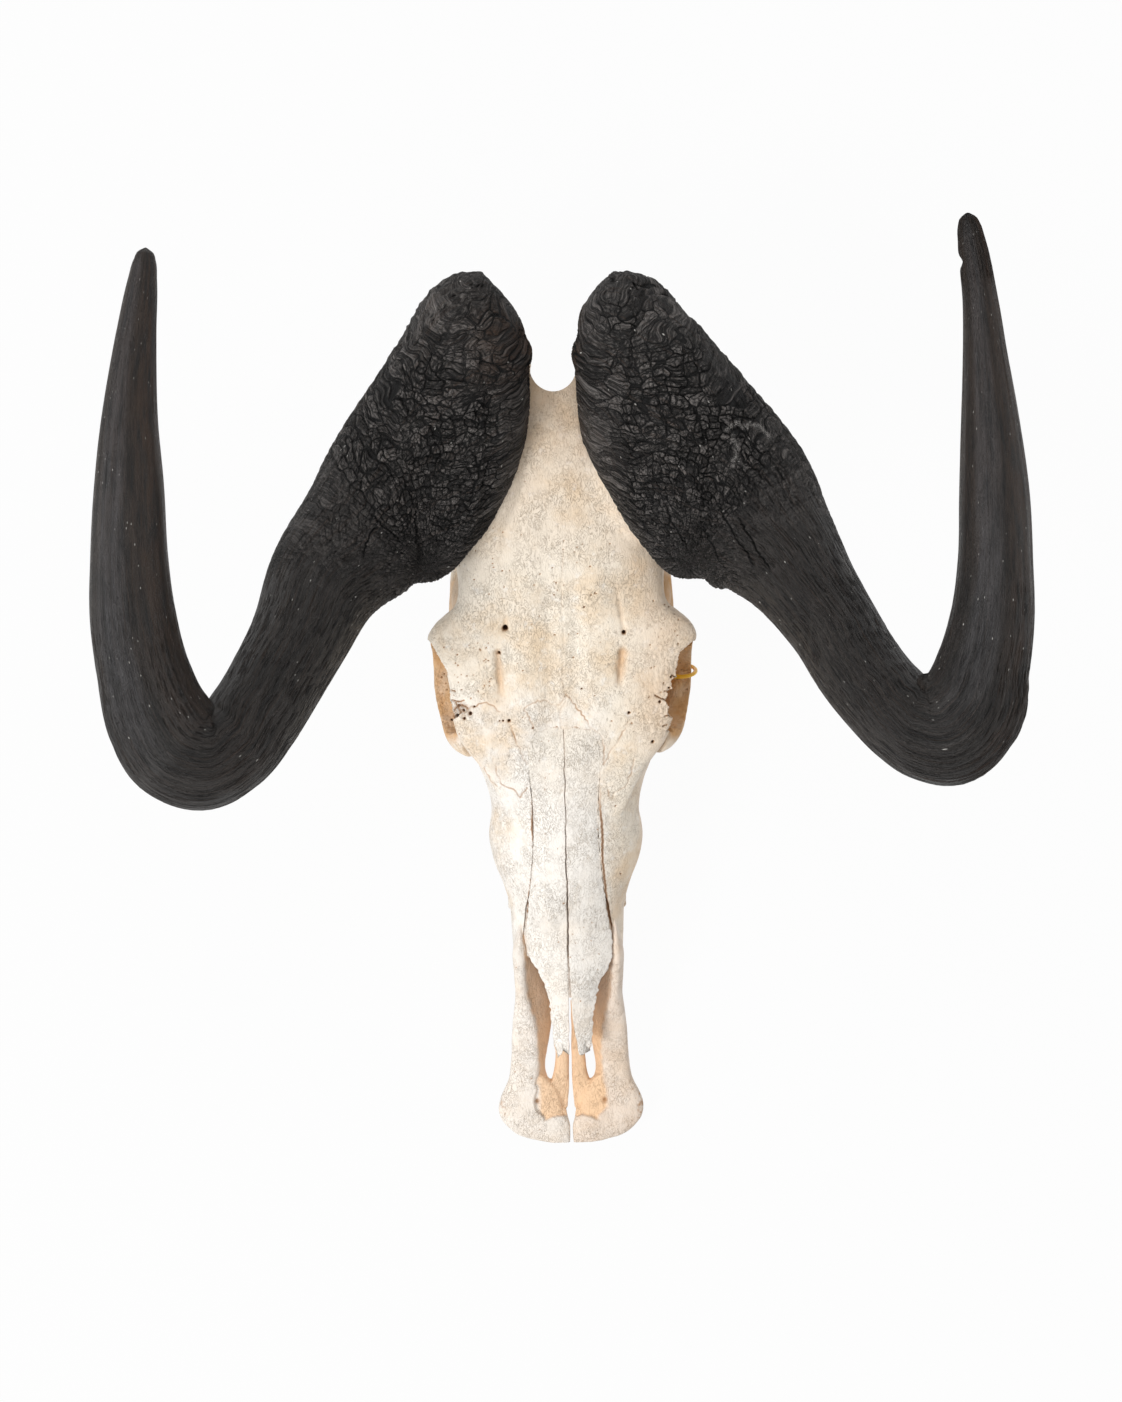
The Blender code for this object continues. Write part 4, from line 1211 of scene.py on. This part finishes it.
def make_skull(material):
    skull = join_shapes("skull_bone", skull_solids())
    fuse(skull, VOXEL, 2)
    hollow = join_shapes("hollows", skull_hollows())
    fuse(hollow, VOXEL, 1)
    subtract(skull, hollow)
    arches = [bar("cheek_arch", CHEEK_ARCH, side) for side in (-1, 1)]
    skull = join_shapes("skull_bone", [skull] + arches + tooth_row(-1) + tooth_row(1))
    fuse(skull, VOXEL, 4)
    subtract(skull, rear_bay())
    for side in (-1, 1):
        subtract(skull, nasal_cut(side))
        subtract(skull, socket_edge_cut(side))
    points, normals = read_points(skull)
    facing = normals[:, 2] > 0.25
    face_side = (points[:, 2] > 55) & (points[:, 1] < 150) & (np.abs(points[:, 0]) < 80)
    refine(skull, facing & face_side)
    sculpt_skull(skull)
    finish_piece(skull, material, ["cranium", "maxilla_left", "maxilla_right"])


def make_nasal(side, word, material):
    """Nose bone with a worn, ragged free end."""
    bone = nasal_plate(f"nasal_bone_{word}", side, 420, 34)
    points, normals = read_points(bone)
    x, y, z = points.T
    across = np.abs(x)
    edge = column_at(NASAL_LEFT if side < 0 else NASAL_RIGHT, y, 1)
    outer = smoothstep(0.55, 1, across / edge)
    along_only = np.stack([y, 9 * side + 0 * y, 0 * y], axis=1)
    ragged = noise(along_only, 2.2, 52, 2)
    points[:, 0] += side * outer * (0.45 + 0.45 * smoothstep(-95, -140, y)) * ragged
    across_only = np.stack([x, 0 * x, 0 * x], axis=1)
    points[:, 1] += smoothstep(-24, -16, y) * 1.6 * noise(across_only, 3.5, 58, 2)
    middle = smoothstep(0.5, 0, across / edge)
    points[:, 0] += middle * 0.45 * noise(np.stack([y, 0 * y, 0 * y], axis=1), 5, 57, 2)
    across_only = np.stack([x, 0 * x, 0 * x], axis=1)
    points[:, 1] += smoothstep(-200, -208, y) * 3.4 * noise(across_only, 2.0, 53 + side)
    facing = smoothstep(0.1, 0.5, normals[:, 2])
    rounding = smoothstep(0.82, 1.0, across / edge)
    lift = 0.22 * noise(points, 12, 54, 2) + 0.10 * noise(points, (1.8, 5, 1.8), 55, 2)
    lift -= 0.35 * rounding * smoothstep(-150, -100, y) * smoothstep(-30, -60, y)
    lift -= 1.2 * smoothstep(-196, -209, y)
    points += normals * (lift * np.maximum(facing, 0.3))[:, None]
    write_points(bone, points)
    # Painted shade: dark in the pores and on the steep side faces of the plate, and tan on its sides; the
    # dark line by the middle is the seam
    pores = scatter_pores(to_pixels(points), 60 + side, *NASAL_PORES_PX) * facing
    rim = smoothstep(0.6, 0.1, normals[:, 2])
    edges = rim * (0.3 + 0.25 * middle) * smoothstep(-150, -140, y)
    seam = facing * smoothstep(0.7, 0.15, across) * (0.30 + 0.35 * smoothstep(-80, -140, y))
    write_values(bone, "dark", np.clip(np.maximum(0.5 * smoothstep(0.3, 0.8, pores) + edges, seam), 0, 1))
    write_values(bone, "tan", 0.25 * smoothstep(0.4, -0.3, normals[:, 2]))
    write_values(bone, "peach", 0.6 * smoothstep(0, -0.5, normals[:, 2]))
    write_values(bone, "grey", np.full(len(points), 1.0))
    write_values(bone, "pale", smoothstep(-20, -70, y) * 0.6 + 0.4)
    finish_piece(bone, material, [f"nasal_{word}"])


def make_premaxilla(side, word, material):
    """Front jaw bone: a side bar, a broad lip with a dish in it, and a thin inner process."""
    shapes = [jaw_bar(side), flat_bar("lip", JAW_LIP, side, 160), flat_bar("process", PALATINE_BAR, side, 80)]
    bone = join_shapes(f"premaxilla_bone_{word}", shapes)
    fuse(bone, JAW_VOXEL, 3)
    points, normals = read_points(bone)
    x, y, z = points.T
    across = np.abs(x)
    facing = smoothstep(0.1, 0.5, normals[:, 2])
    front = -252 + 1.5 * np.sin(across / 4) + 0.5 * noise(points, 3, 74)
    ridge = column_at(JAW_BAR, y, 2) + 1.1 * noise(points, 5, 75)
    ridge = ridge - 6 * smoothstep(-243, -253, y) ** 2
    side_wall = smoothstep(ridge + 1.0, ridge - 0.4, across)
    dish = smoothstep(front - 0.7, front + 0.7, y) * side_wall * smoothstep(-224, -238, y) * facing
    lift = 0.26 * noise(points, 9, 70 + side, 2) + 0.10 * noise(points, (1.5, 5, 1.5), 71, 2)
    lift -= 2.0 * dish
    pit = np.exp(-(((across - 20.5) / 1.5) ** 2 + ((y + 241.5) / 1.7) ** 2)) * facing
    lift -= 1.6 * pit
    points += normals * lift[:, None]
    write_points(bone, points)
    pixel = to_pixels(points)
    pores = scatter_pores(pixel, 80 + side, *JAW_PORES_PX) * facing
    rim = smoothstep(38, 42, across) * smoothstep(-232, -240, y) * noise(points, 1.6, 72)
    inner = smoothstep(ridge + 0.6, ridge - 1.6, across) * smoothstep(front - 0.4, front + 0.8, y)
    shade = smoothstep(-205, -165, y)
    # Painted cast shadow: grey in place of peach at the outer edge of the left dish, beside the bar's ridge
    painted_cast_shadow = smoothstep(17, 20, across) * dish * (side < 0)
    # Painted shade: dark in the pores and the pit
    write_values(bone, "dark", np.clip(0.5 * smoothstep(0.3, 0.8, pores) + 0.6 * pit + 0.7 * rim, 0, 1))
    # Painted shade: the right bone gets more tan than the left, as its side lies in shade; on the inner wall
    # the tan grows with shade towards the rear
    warm = 0.10 if side < 0 else 0.34
    write_values(bone, "tan", np.clip(warm + 0.62 * inner * shade * (0.8 if side < 0 else 0.2), 0, 1))
    write_values(bone, "peach", np.clip(inner * (0.8 - 0.45 * shade) - 0.6 * painted_cast_shadow, 0, 0.85))
    write_values(bone, "grey", np.clip(1.15 - inner + painted_cast_shadow, 0, 1.3))
    write_values(bone, "pale", np.full(len(points), 1.0))
    finish_piece(bone, material, [f"premaxilla_{word}"])


# Horns

BOSS_SIDES = 520
SHAFT_SIDES = 260
UPPER_SHARE = 0.68
BOSS_STEP = 0.7
SHAFT_STEP = 1.7
CAP_RINGS = 12
CAP_DEPTH = 2.6


def horn_stations(rows):
    """Lengths along the horn where rings stand, close on the boss and wider on the shaft."""
    total = row_lengths(rows)[-1]
    boss = np.arange(0, BOSS_LENGTH, BOSS_STEP)
    shaft = np.arange(BOSS_LENGTH, total - 2, SHAFT_STEP)
    tip = total - 2 * np.linspace(1, 0, 6)[1:]
    return boss, np.concatenate([shaft, tip])


def horn_rings(table, side, sides):
    axis = table[:, :3]
    along = np.gradient(axis, axis=0)
    along /= np.linalg.norm(along, axis=1)[:, None]
    level = np.stack([side * along[:, 1], -side * along[:, 0], np.zeros(len(axis))], axis=1)
    level /= np.linalg.norm(level, axis=1)[:, None]
    weight = np.clip(table[:, 5:6], 0, 1)
    width_way = weight * (0, -1, 0) + (1 - weight) * level
    width_way /= np.linalg.norm(width_way, axis=1)[:, None]
    thick_way = np.cross(width_way, along) * side
    thick_way /= np.linalg.norm(thick_way, axis=1)[:, None]
    turn = np.arange(sides) / sides
    upper = turn < UPPER_SHARE
    angle = math.pi * np.where(upper, turn / UPPER_SHARE, 1 + (turn - UPPER_SHARE) / (1 - UPPER_SHARE))
    across = table[:, 3, None, None] * np.cos(angle)[None, :, None] * width_way[:, None, :]
    upright = table[:, 4, None, None] * np.sin(angle)[None, :, None] * thick_way[:, None, :]
    return axis[:, None, :] + across + upright


def horn_mesh(name, rows, side):
    """Horn skin: close rings on the boss, then rings of half as many points on the shaft."""
    stations = len(rows)
    blend = [1.0 if k < BOSS_STATIONS else max(0.0, (SHAFT_STATION - k) / (SHAFT_STATION - BOSS_STATIONS + 1))
             for k in range(stations)]
    table = [(*row, weight) for row, weight in zip(rows, blend)]
    boss_at, shaft_at = horn_stations(rows)
    everywhere = read_rows(table, np.concatenate([boss_at, shaft_at]))
    fine = horn_rings(everywhere, side, BOSS_SIDES)
    boss = fine[: len(boss_at)]
    shaft = fine[len(boss_at):, ::2]
    first = boss[0]
    middle = first.mean(axis=0)
    share = np.linspace(0, 1, CAP_RINGS + 1)[1:-1]
    cap = []
    for u in share:
        scale = math.sqrt(1 - (1 - u) ** 2)
        cap.append(middle + (first - middle) * scale - np.array([side, 0, 0]) * CAP_DEPTH * (1 - u))
    boss = np.concatenate([np.array(cap), boss])
    boss_along = np.concatenate([np.linspace(-CAP_DEPTH * 2, -0.5, len(cap)), boss_at])
    points = [boss.reshape(-1, 3), shaft.reshape(-1, 3)]
    pole = middle - np.array([side, 0, 0]) * CAP_DEPTH
    tip = shaft[-1].mean(axis=0) + (everywhere[-1, :3] - everywhere[-2, :3])
    points += [pole[None], tip[None]]
    points = np.concatenate(points)
    rows_of_boss = len(boss)
    offset = rows_of_boss * BOSS_SIDES
    faces = ring_faces(0, rows_of_boss, BOSS_SIDES).tolist()
    faces += ring_faces(offset, len(shaft), SHAFT_SIDES).tolist()
    start = np.arange(BOSS_SIDES)
    turn = (start + 1) % BOSS_SIDES
    begin = np.arange(SHAFT_SIDES)
    after = (begin + 1) % SHAFT_SIDES
    last = (rows_of_boss - 1) * BOSS_SIDES
    odd = last + 2 * begin + 1
    even = last + 2 * begin
    next_even = last + (2 * begin + 2) % BOSS_SIDES
    faces += np.stack([even, odd, offset + begin], 1).tolist()
    faces += np.stack([odd, next_even, offset + after, offset + begin], 1).tolist()
    pole_index = len(points) - 2
    faces += np.stack([np.full(BOSS_SIDES, pole_index), turn, start], 1).tolist()
    end = offset + (len(shaft) - 1) * SHAFT_SIDES
    faces += np.stack([np.full(SHAFT_SIDES, pole_index + 1), end + begin, end + after], 1).tolist()
    lengths = np.concatenate([
        np.repeat(boss_along, BOSS_SIDES), np.repeat(shaft_at, SHAFT_SIDES), [-2 * CAP_DEPTH, shaft_at[-1]],
    ])
    turns = np.concatenate([
        np.tile(np.arange(BOSS_SIDES) / BOSS_SIDES, rows_of_boss),
        np.tile(np.arange(SHAFT_SIDES) / SHAFT_SIDES, len(shaft)), [0, 0],
    ])
    return mesh_object(name, points, faces), lengths, turns


BLOCK_LENGTH = 4.3
BLOCK_WIDTH = 5.0
FAN_RADIUS = 66


def fan_grain(pixel, points, side):
    """Pattern coordinates that fan out over the boss in rows and rays."""
    centre = FAN_LEFT_PX if side < 0 else FAN_RIGHT_PX
    away = (pixel - centre) * PIXEL_MM
    radius = np.linalg.norm(away, axis=1)
    angle = np.arctan2(away[:, 0], -away[:, 1])
    steep = 0.8 * points[:, 2] + 5 * noise(points, 15, 85, 2)
    turn = angle * FAN_RADIUS + 4 * noise(points, 15, 86, 2)
    return np.stack([(radius + steep) / BLOCK_LENGTH, turn / BLOCK_WIDTH, 0 * angle], axis=1)


def wrinkles(pixel, side):
    """Flaky folds that follow the outline at the rear of the boss."""
    centre = FOLD_LEFT_PX if side < 0 else FOLD_RIGHT_PX
    away = (pixel - centre) * (1, 0.85) * PIXEL_MM
    radius = np.linalg.norm(away, axis=1)
    angle = np.arctan2(away[:, 0], -away[:, 1])
    place = np.stack([radius, angle * 52, 0 * angle], axis=1)
    bent = place + 4.5 * noise(place, (9, 9, 9), 97 + side, 2)[:, None] * (1, 0, 0)
    fold = 1 - 2 * np.abs(noise(bent, (4.2, 12, 4), 98 + side, 2))
    thin = 1 - 2 * np.abs(noise(bent, (1.8, 5.5, 2), 99 + side, 2))
    reach = smoothstep(40, 56, radius)
    return fold, thin, reach


def boss_masks(pixel, lengths, points, side):
    """Where the boss is cracked in blocks, wrinkled, or worn smooth."""
    boss = smoothstep(158, 100, lengths)
    edge_noise = 30 * noise(points, 22, 88 + side, 2)
    blocks = smoothstep(215, 105, lengths + edge_noise)
    mirror = pixel if side < 0 else pixel * (-1, 1) + (BOSS_MIRROR_PX, 0)
    smooth = smoothstep(*BOSS_SMOOTH_X_PX, mirror[:, 0]) * smoothstep(*BOSS_SMOOTH_Y_PX, mirror[:, 1])
    core = spot(mirror, BOSS_CORE_PX, 2)
    outer = smoothstep(*BOSS_OUTER_PX, mirror[:, 0] + 0.5 * (mirror[:, 1] - FAN_LEFT_PX[1]))
    cracks = blocks * np.clip(0.66 + 0.5 * core - 0.45 * smooth - 0.3 * outer, 0.2, 1)
    return boss, smooth, cracks, blocks


def sculpt_horn(body, lengths, turns, side):
    """Folds and fibres of the keratin, and the masks that colour it."""
    points, normals = read_points(body)
    pixel = to_pixels(points)
    boss, smooth, cracks, blocks = boss_masks(pixel, lengths, points, side)
    front = smoothstep(0.0, 0.4, normals[:, 2])
    angle = 2 * math.pi * turns
    wrap = np.stack([lengths, 62 * np.cos(angle), 62 * np.sin(angle)], axis=1)
    fold, thin, reach = wrinkles(pixel, side)
    reach = reach * boss * smoothstep(*FOLD_LIMIT_PX, pixel[:, 1])
    cracks = cracks * (1 - 0.55 * reach)
    lump = noise(wrap, 24, 91 + side, 2)
    knot = 1 - 2 * np.abs(noise(wrap, (7, 6, 7), 92 + side, 2))
    ridge = noise(wrap, (26, 1.8, 1.8), 93 + side, 2)
    slow = noise(wrap, (70, 16, 16), 94 + side, 2)
    shaft = smoothstep(80, 150, lengths) * smoothstep(430, 330, lengths)
    chips = np.abs(noise(wrap, (10, 2.0, 2.0), 89 + side, 2))
    lift = boss * (0.9 * lump + 0.35 * knot * (1 - smooth)) + reach * (1.0 * fold + 0.6 * thin)
    lift += 0.28 * shaft * ridge + 0.5 * smoothstep(120, 200, lengths) * slow
    lift -= 0.8 * shaft * smoothstep(0.30, 0.55, chips)
    lift += 0.10 * noise(wrap, (3, 1.4, 1.4), 95 + side, 2) * (0.4 + 0.6 * boss)
    split = reach * smoothstep(-0.15, -0.55, thin) * 0.8
    for line in SPLITS_LEFT_PX if side < 0 else SPLITS_RIGHT_PX:
        gap, along = line_distance(pixel, wander(line, 1.2, 7), 6)
        taper = smoothstep(0, 0.15, along) * smoothstep(1, 0.85, along)
        split = np.maximum(split, 0.75 * front * taper * smoothstep(1.3, 0.3, gap))
    lift -= 1.0 * split
    lift = lift * (1 - 0.85 * smoothstep(0.25, 0.75, -side * normals[:, 0]) * boss)
    tab = FLAP_LEFT_PX if side < 0 else FLAP_RIGHT_PX
    tab_mark = smoothstep(14, 5, np.linalg.norm((pixel - tab) * (1, 0.75), axis=1))
    lift += 2.2 * tab_mark * smoothstep(0.2, 0.7, -side * normals[:, 0])
    bend = smoothstep(200, 240, lengths) * smoothstep(400, 330, lengths)
    rim = bend * smoothstep(0.45, 0.85, normals[:, 0] * side - 0.5 * normals[:, 1])
    lift += (0.3 + 0.7 * (side > 0)) * rim * noise(wrap, (7, 3, 3), 96 + side, 2)
    end = lengths.max()
    tip = smoothstep(end - 60, end, lengths)
    lift = lift * (1 - 0.85 * tip)
    if side > 0:
        lift -= 2.2 * spot(pixel, TIP_CHIP_PX)
        lift -= 0.8 * smoothstep(end - 45, end - 30, lengths) * np.abs(noise(wrap, (9, 4, 4), 101, 2))
    points += normals * lift[:, None]
    write_points(body, points)
    medial = smoothstep(10, 0, np.abs(lengths + 2)) * 0.5
    patch = spot(pixel, BROWN_PATCH_PX) if side < 0 else 0
    warm_side = smoothstep(0.1, 0.7, normals[:, 0]) * smoothstep(260, 350, lengths)
    brown = 0.7 * patch + 0.8 * tab_mark + medial + 0.25 * smoothstep(330, 520, lengths) + 0.35 * warm_side
    write_values(body, "brown", np.clip(brown, 0, 1))
    write_values(body, "boss", blocks)
    # Painted highlight: a paler band along the prongs on faces turned up towards the light
    sheen = normals @ (np.array([-0.42, 0, 0.907]) if side < 0 else np.array([-0.30, 0, 0.954]))
    painted_sheen = smoothstep(0.86, 0.98, sheen) * smoothstep(300, 380, lengths)
    write_values(body, "painted_sheen", painted_sheen * (0.75 + 0.35 * noise(wrap, (30, 9, 9), 103, 2)))
    write_values(body, "cracks", cracks)
    write_values(body, "split", split)
    fan = boss * smoothstep(45, 85, lengths) * 0.6
    prong = 0.35 * smoothstep(300, 380, lengths)
    write_values(body, "fibre", np.maximum(np.maximum(shaft * 0.9, fan), prong))
    chalk = np.zeros(len(points))
    if side > 0:
        for line in CHALK_PX:
            gap, _ = line_distance(pixel, wander(line, 1.5, 5), 9)
            chalk = np.maximum(chalk, smoothstep(3.0, 0.8, gap) * front)
    write_values(body, "chalk", chalk)
    write_vectors(body, "grain", fan_grain(pixel, points, side))
    write_vectors(body, "along", np.stack([lengths / 10, 40 * turns, 0 * turns + 3 * side], axis=1))


def crack_modifier(body, depth):
    """Sink the crack net of the boss into the mesh."""
    tree = bpy.data.node_groups.new(f"{body.name}_cracks", "GeometryNodeTree")
    tree.interface.new_socket(name="Geometry", in_out="INPUT", socket_type="NodeSocketGeometry")
    tree.interface.new_socket(name="Geometry", in_out="OUTPUT", socket_type="NodeSocketGeometry")
    entry = tree.nodes.new("NodeGroupInput")
    leave = tree.nodes.new("NodeGroupOutput")
    move = tree.nodes.new("GeometryNodeSetPosition")
    normal = tree.nodes.new("GeometryNodeInputNormal")
    grain = tree.nodes.new("GeometryNodeInputNamedAttribute")
    grain.data_type = "FLOAT_VECTOR"
    grain.inputs["Name"].default_value = "grain"
    share = tree.nodes.new("GeometryNodeInputNamedAttribute")
    share.inputs["Name"].default_value = "cracks"
    crack, swell = crack_height(tree, grain.outputs["Attribute"])
    height = math_node(tree, "SUBTRACT", math_node(tree, "MULTIPLY", swell, 0.75), crack)
    amount = math_node(tree, "MULTIPLY", height, share.outputs["Attribute"])
    amount = math_node(tree, "MULTIPLY", amount, depth * MM)
    scaled = tree.nodes.new("ShaderNodeVectorMath")
    scaled.operation = "SCALE"
    link(tree, normal.outputs["Normal"], scaled.inputs[0])
    link(tree, amount, scaled.inputs["Scale"])
    link(tree, entry.outputs[0], move.inputs["Geometry"])
    link(tree, scaled.outputs[0], move.inputs["Offset"])
    link(tree, move.outputs[0], leave.inputs[0])
    body.modifiers.new("Cracks", "NODES").node_group = tree
    apply_modifiers(body)


def make_horn(side, word, rows, material):
    horn, lengths, turns = horn_mesh(f"horn_sheath_{word}", rows, side)
    sculpt_horn(horn, lengths, turns, side)
    crack_modifier(horn, 1.1)
    finish_piece(horn, material, [f"horn_{word}"])


def make_loop(material):
    """Small ring of line that passes under and over the socket rim."""
    around = np.linspace(0, 2 * math.pi, LOOP_STEPS, endpoint=False)[:, None]
    ring = np.linspace(0, 2 * math.pi, LOOP_SIDES, endpoint=False)[None, :]
    out = LOOP_THICKNESS * np.cos(ring)
    x = LOOP_CENTRE[0] + (LOOP_RADII[0] + out) * np.cos(around)
    y = LOOP_CENTRE[1] + LOOP_THICKNESS * np.sin(ring) - LOOP_TILT * LOOP_RADII[1] * np.sin(around)
    z = LOOP_CENTRE[2] + (LOOP_RADII[1] + out) * np.sin(around)
    points = np.stack([x, y, z], axis=2).reshape(-1, 3)
    faces = ring_faces(0, LOOP_STEPS + 1, LOOP_SIDES) % len(points)
    loop = mesh_object("line_loop", points, faces.tolist())
    finish_piece(loop, material, ["tie_loop"])


# Stage, lights and camera

FLOOR_SIZE = 90
FLOOR_GLOW = 0.96
SKY_GLOW = 0.58
# Name, place and size in metres, power in watts
LIGHTS = [("key", (-1.6, -1.1, 2.2), 0.9, 53), ("top", (-0.2, 1.5, 2.4), 1.2, 15)]


def make_stage():
    """White floor that shines by itself and takes no shadow."""
    bpy.ops.mesh.primitive_plane_add(size=FLOOR_SIZE, location=(0, 0, -0.0004))
    floor = bpy.context.object
    floor.name = "floor"
    material, tree, shader = start_material("white_floor", 1)
    shader.inputs["Base Color"].default_value = (0.02, 0.02, 0.02, 1)
    shader.inputs["Specular IOR Level"].default_value = 0
    shader.inputs["Emission Color"].default_value = (1, 1, 1, 1)
    shader.inputs["Emission Strength"].default_value = FLOOR_GLOW
    floor.data.materials.append(material)


def area_light(name, place, size, power):
    data = bpy.data.lights.new(name, "AREA")
    data.shape = "SQUARE"
    data.size = size
    data.energy = power
    light = bpy.data.objects.new(name, data)
    bpy.context.scene.collection.objects.link(light)
    light.location = place
    light.rotation_euler = Vector((-place[0], -place[1], 0.1 - place[2])).to_track_quat("-Z", "Y").to_euler()


def make_lights():
    for name, place, size, power in LIGHTS:
        area_light(name, place, size, power)
    world = bpy.data.worlds.new("studio")
    world.use_nodes = True
    sky = world.node_tree.nodes["Background"]
    sky.inputs["Color"].default_value = (1, 1, 1, 1)
    sky.inputs["Strength"].default_value = SKY_GLOW
    bpy.context.scene.world = world


def make_camera():
    """Looks straight down on the face, turned a little as in the photograph."""
    data = bpy.data.cameras.new("camera")
    distance = (REFERENCE_Z + CAMERA_ABOVE) * MM
    data.sensor_width = SENSOR_MM
    data.sensor_fit = "AUTO"
    data.lens = CAMERA_ABOVE / (PIXEL_MM * IMAGE_HEIGHT_PX) * SENSOR_MM
    camera = bpy.data.objects.new("camera", data)
    bpy.context.scene.collection.objects.link(camera)
    aim_x = (IMAGE_CENTRE_PX[0] - SKULL_AXIS_PX) * PIXEL_MM - CENTRE_X
    camera.location = (aim_x * MM, -CENTRE_Y * MM, distance)
    camera.rotation_euler = (0, 0, -math.atan(CAMERA_ROLL))
    bpy.context.scene.camera = camera


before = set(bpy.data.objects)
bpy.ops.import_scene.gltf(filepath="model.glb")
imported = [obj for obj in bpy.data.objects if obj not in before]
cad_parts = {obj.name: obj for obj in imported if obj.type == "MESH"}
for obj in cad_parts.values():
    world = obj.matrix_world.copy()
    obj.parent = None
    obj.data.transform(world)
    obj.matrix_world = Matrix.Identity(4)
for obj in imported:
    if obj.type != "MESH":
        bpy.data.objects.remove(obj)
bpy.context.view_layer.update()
bpy.context.scene.view_settings.view_transform = "Standard"

bone = bone_material("bone", 0.45, 0.75)
pale_bone = bone_material("pale_bone", 0.36, 0.25)
keratin = horn_material("horn_black")
make_skull(bone)
for side, word in ((-1, "left"), (1, "right")):
    make_nasal(side, word, pale_bone)
    make_premaxilla(side, word, pale_bone)
make_horn(-1, "left", HORN_LEFT, keratin)
make_horn(1, "right", HORN_RIGHT, keratin)
make_loop(line_material("yellow_line"))
make_stage()
make_lights()
make_camera()
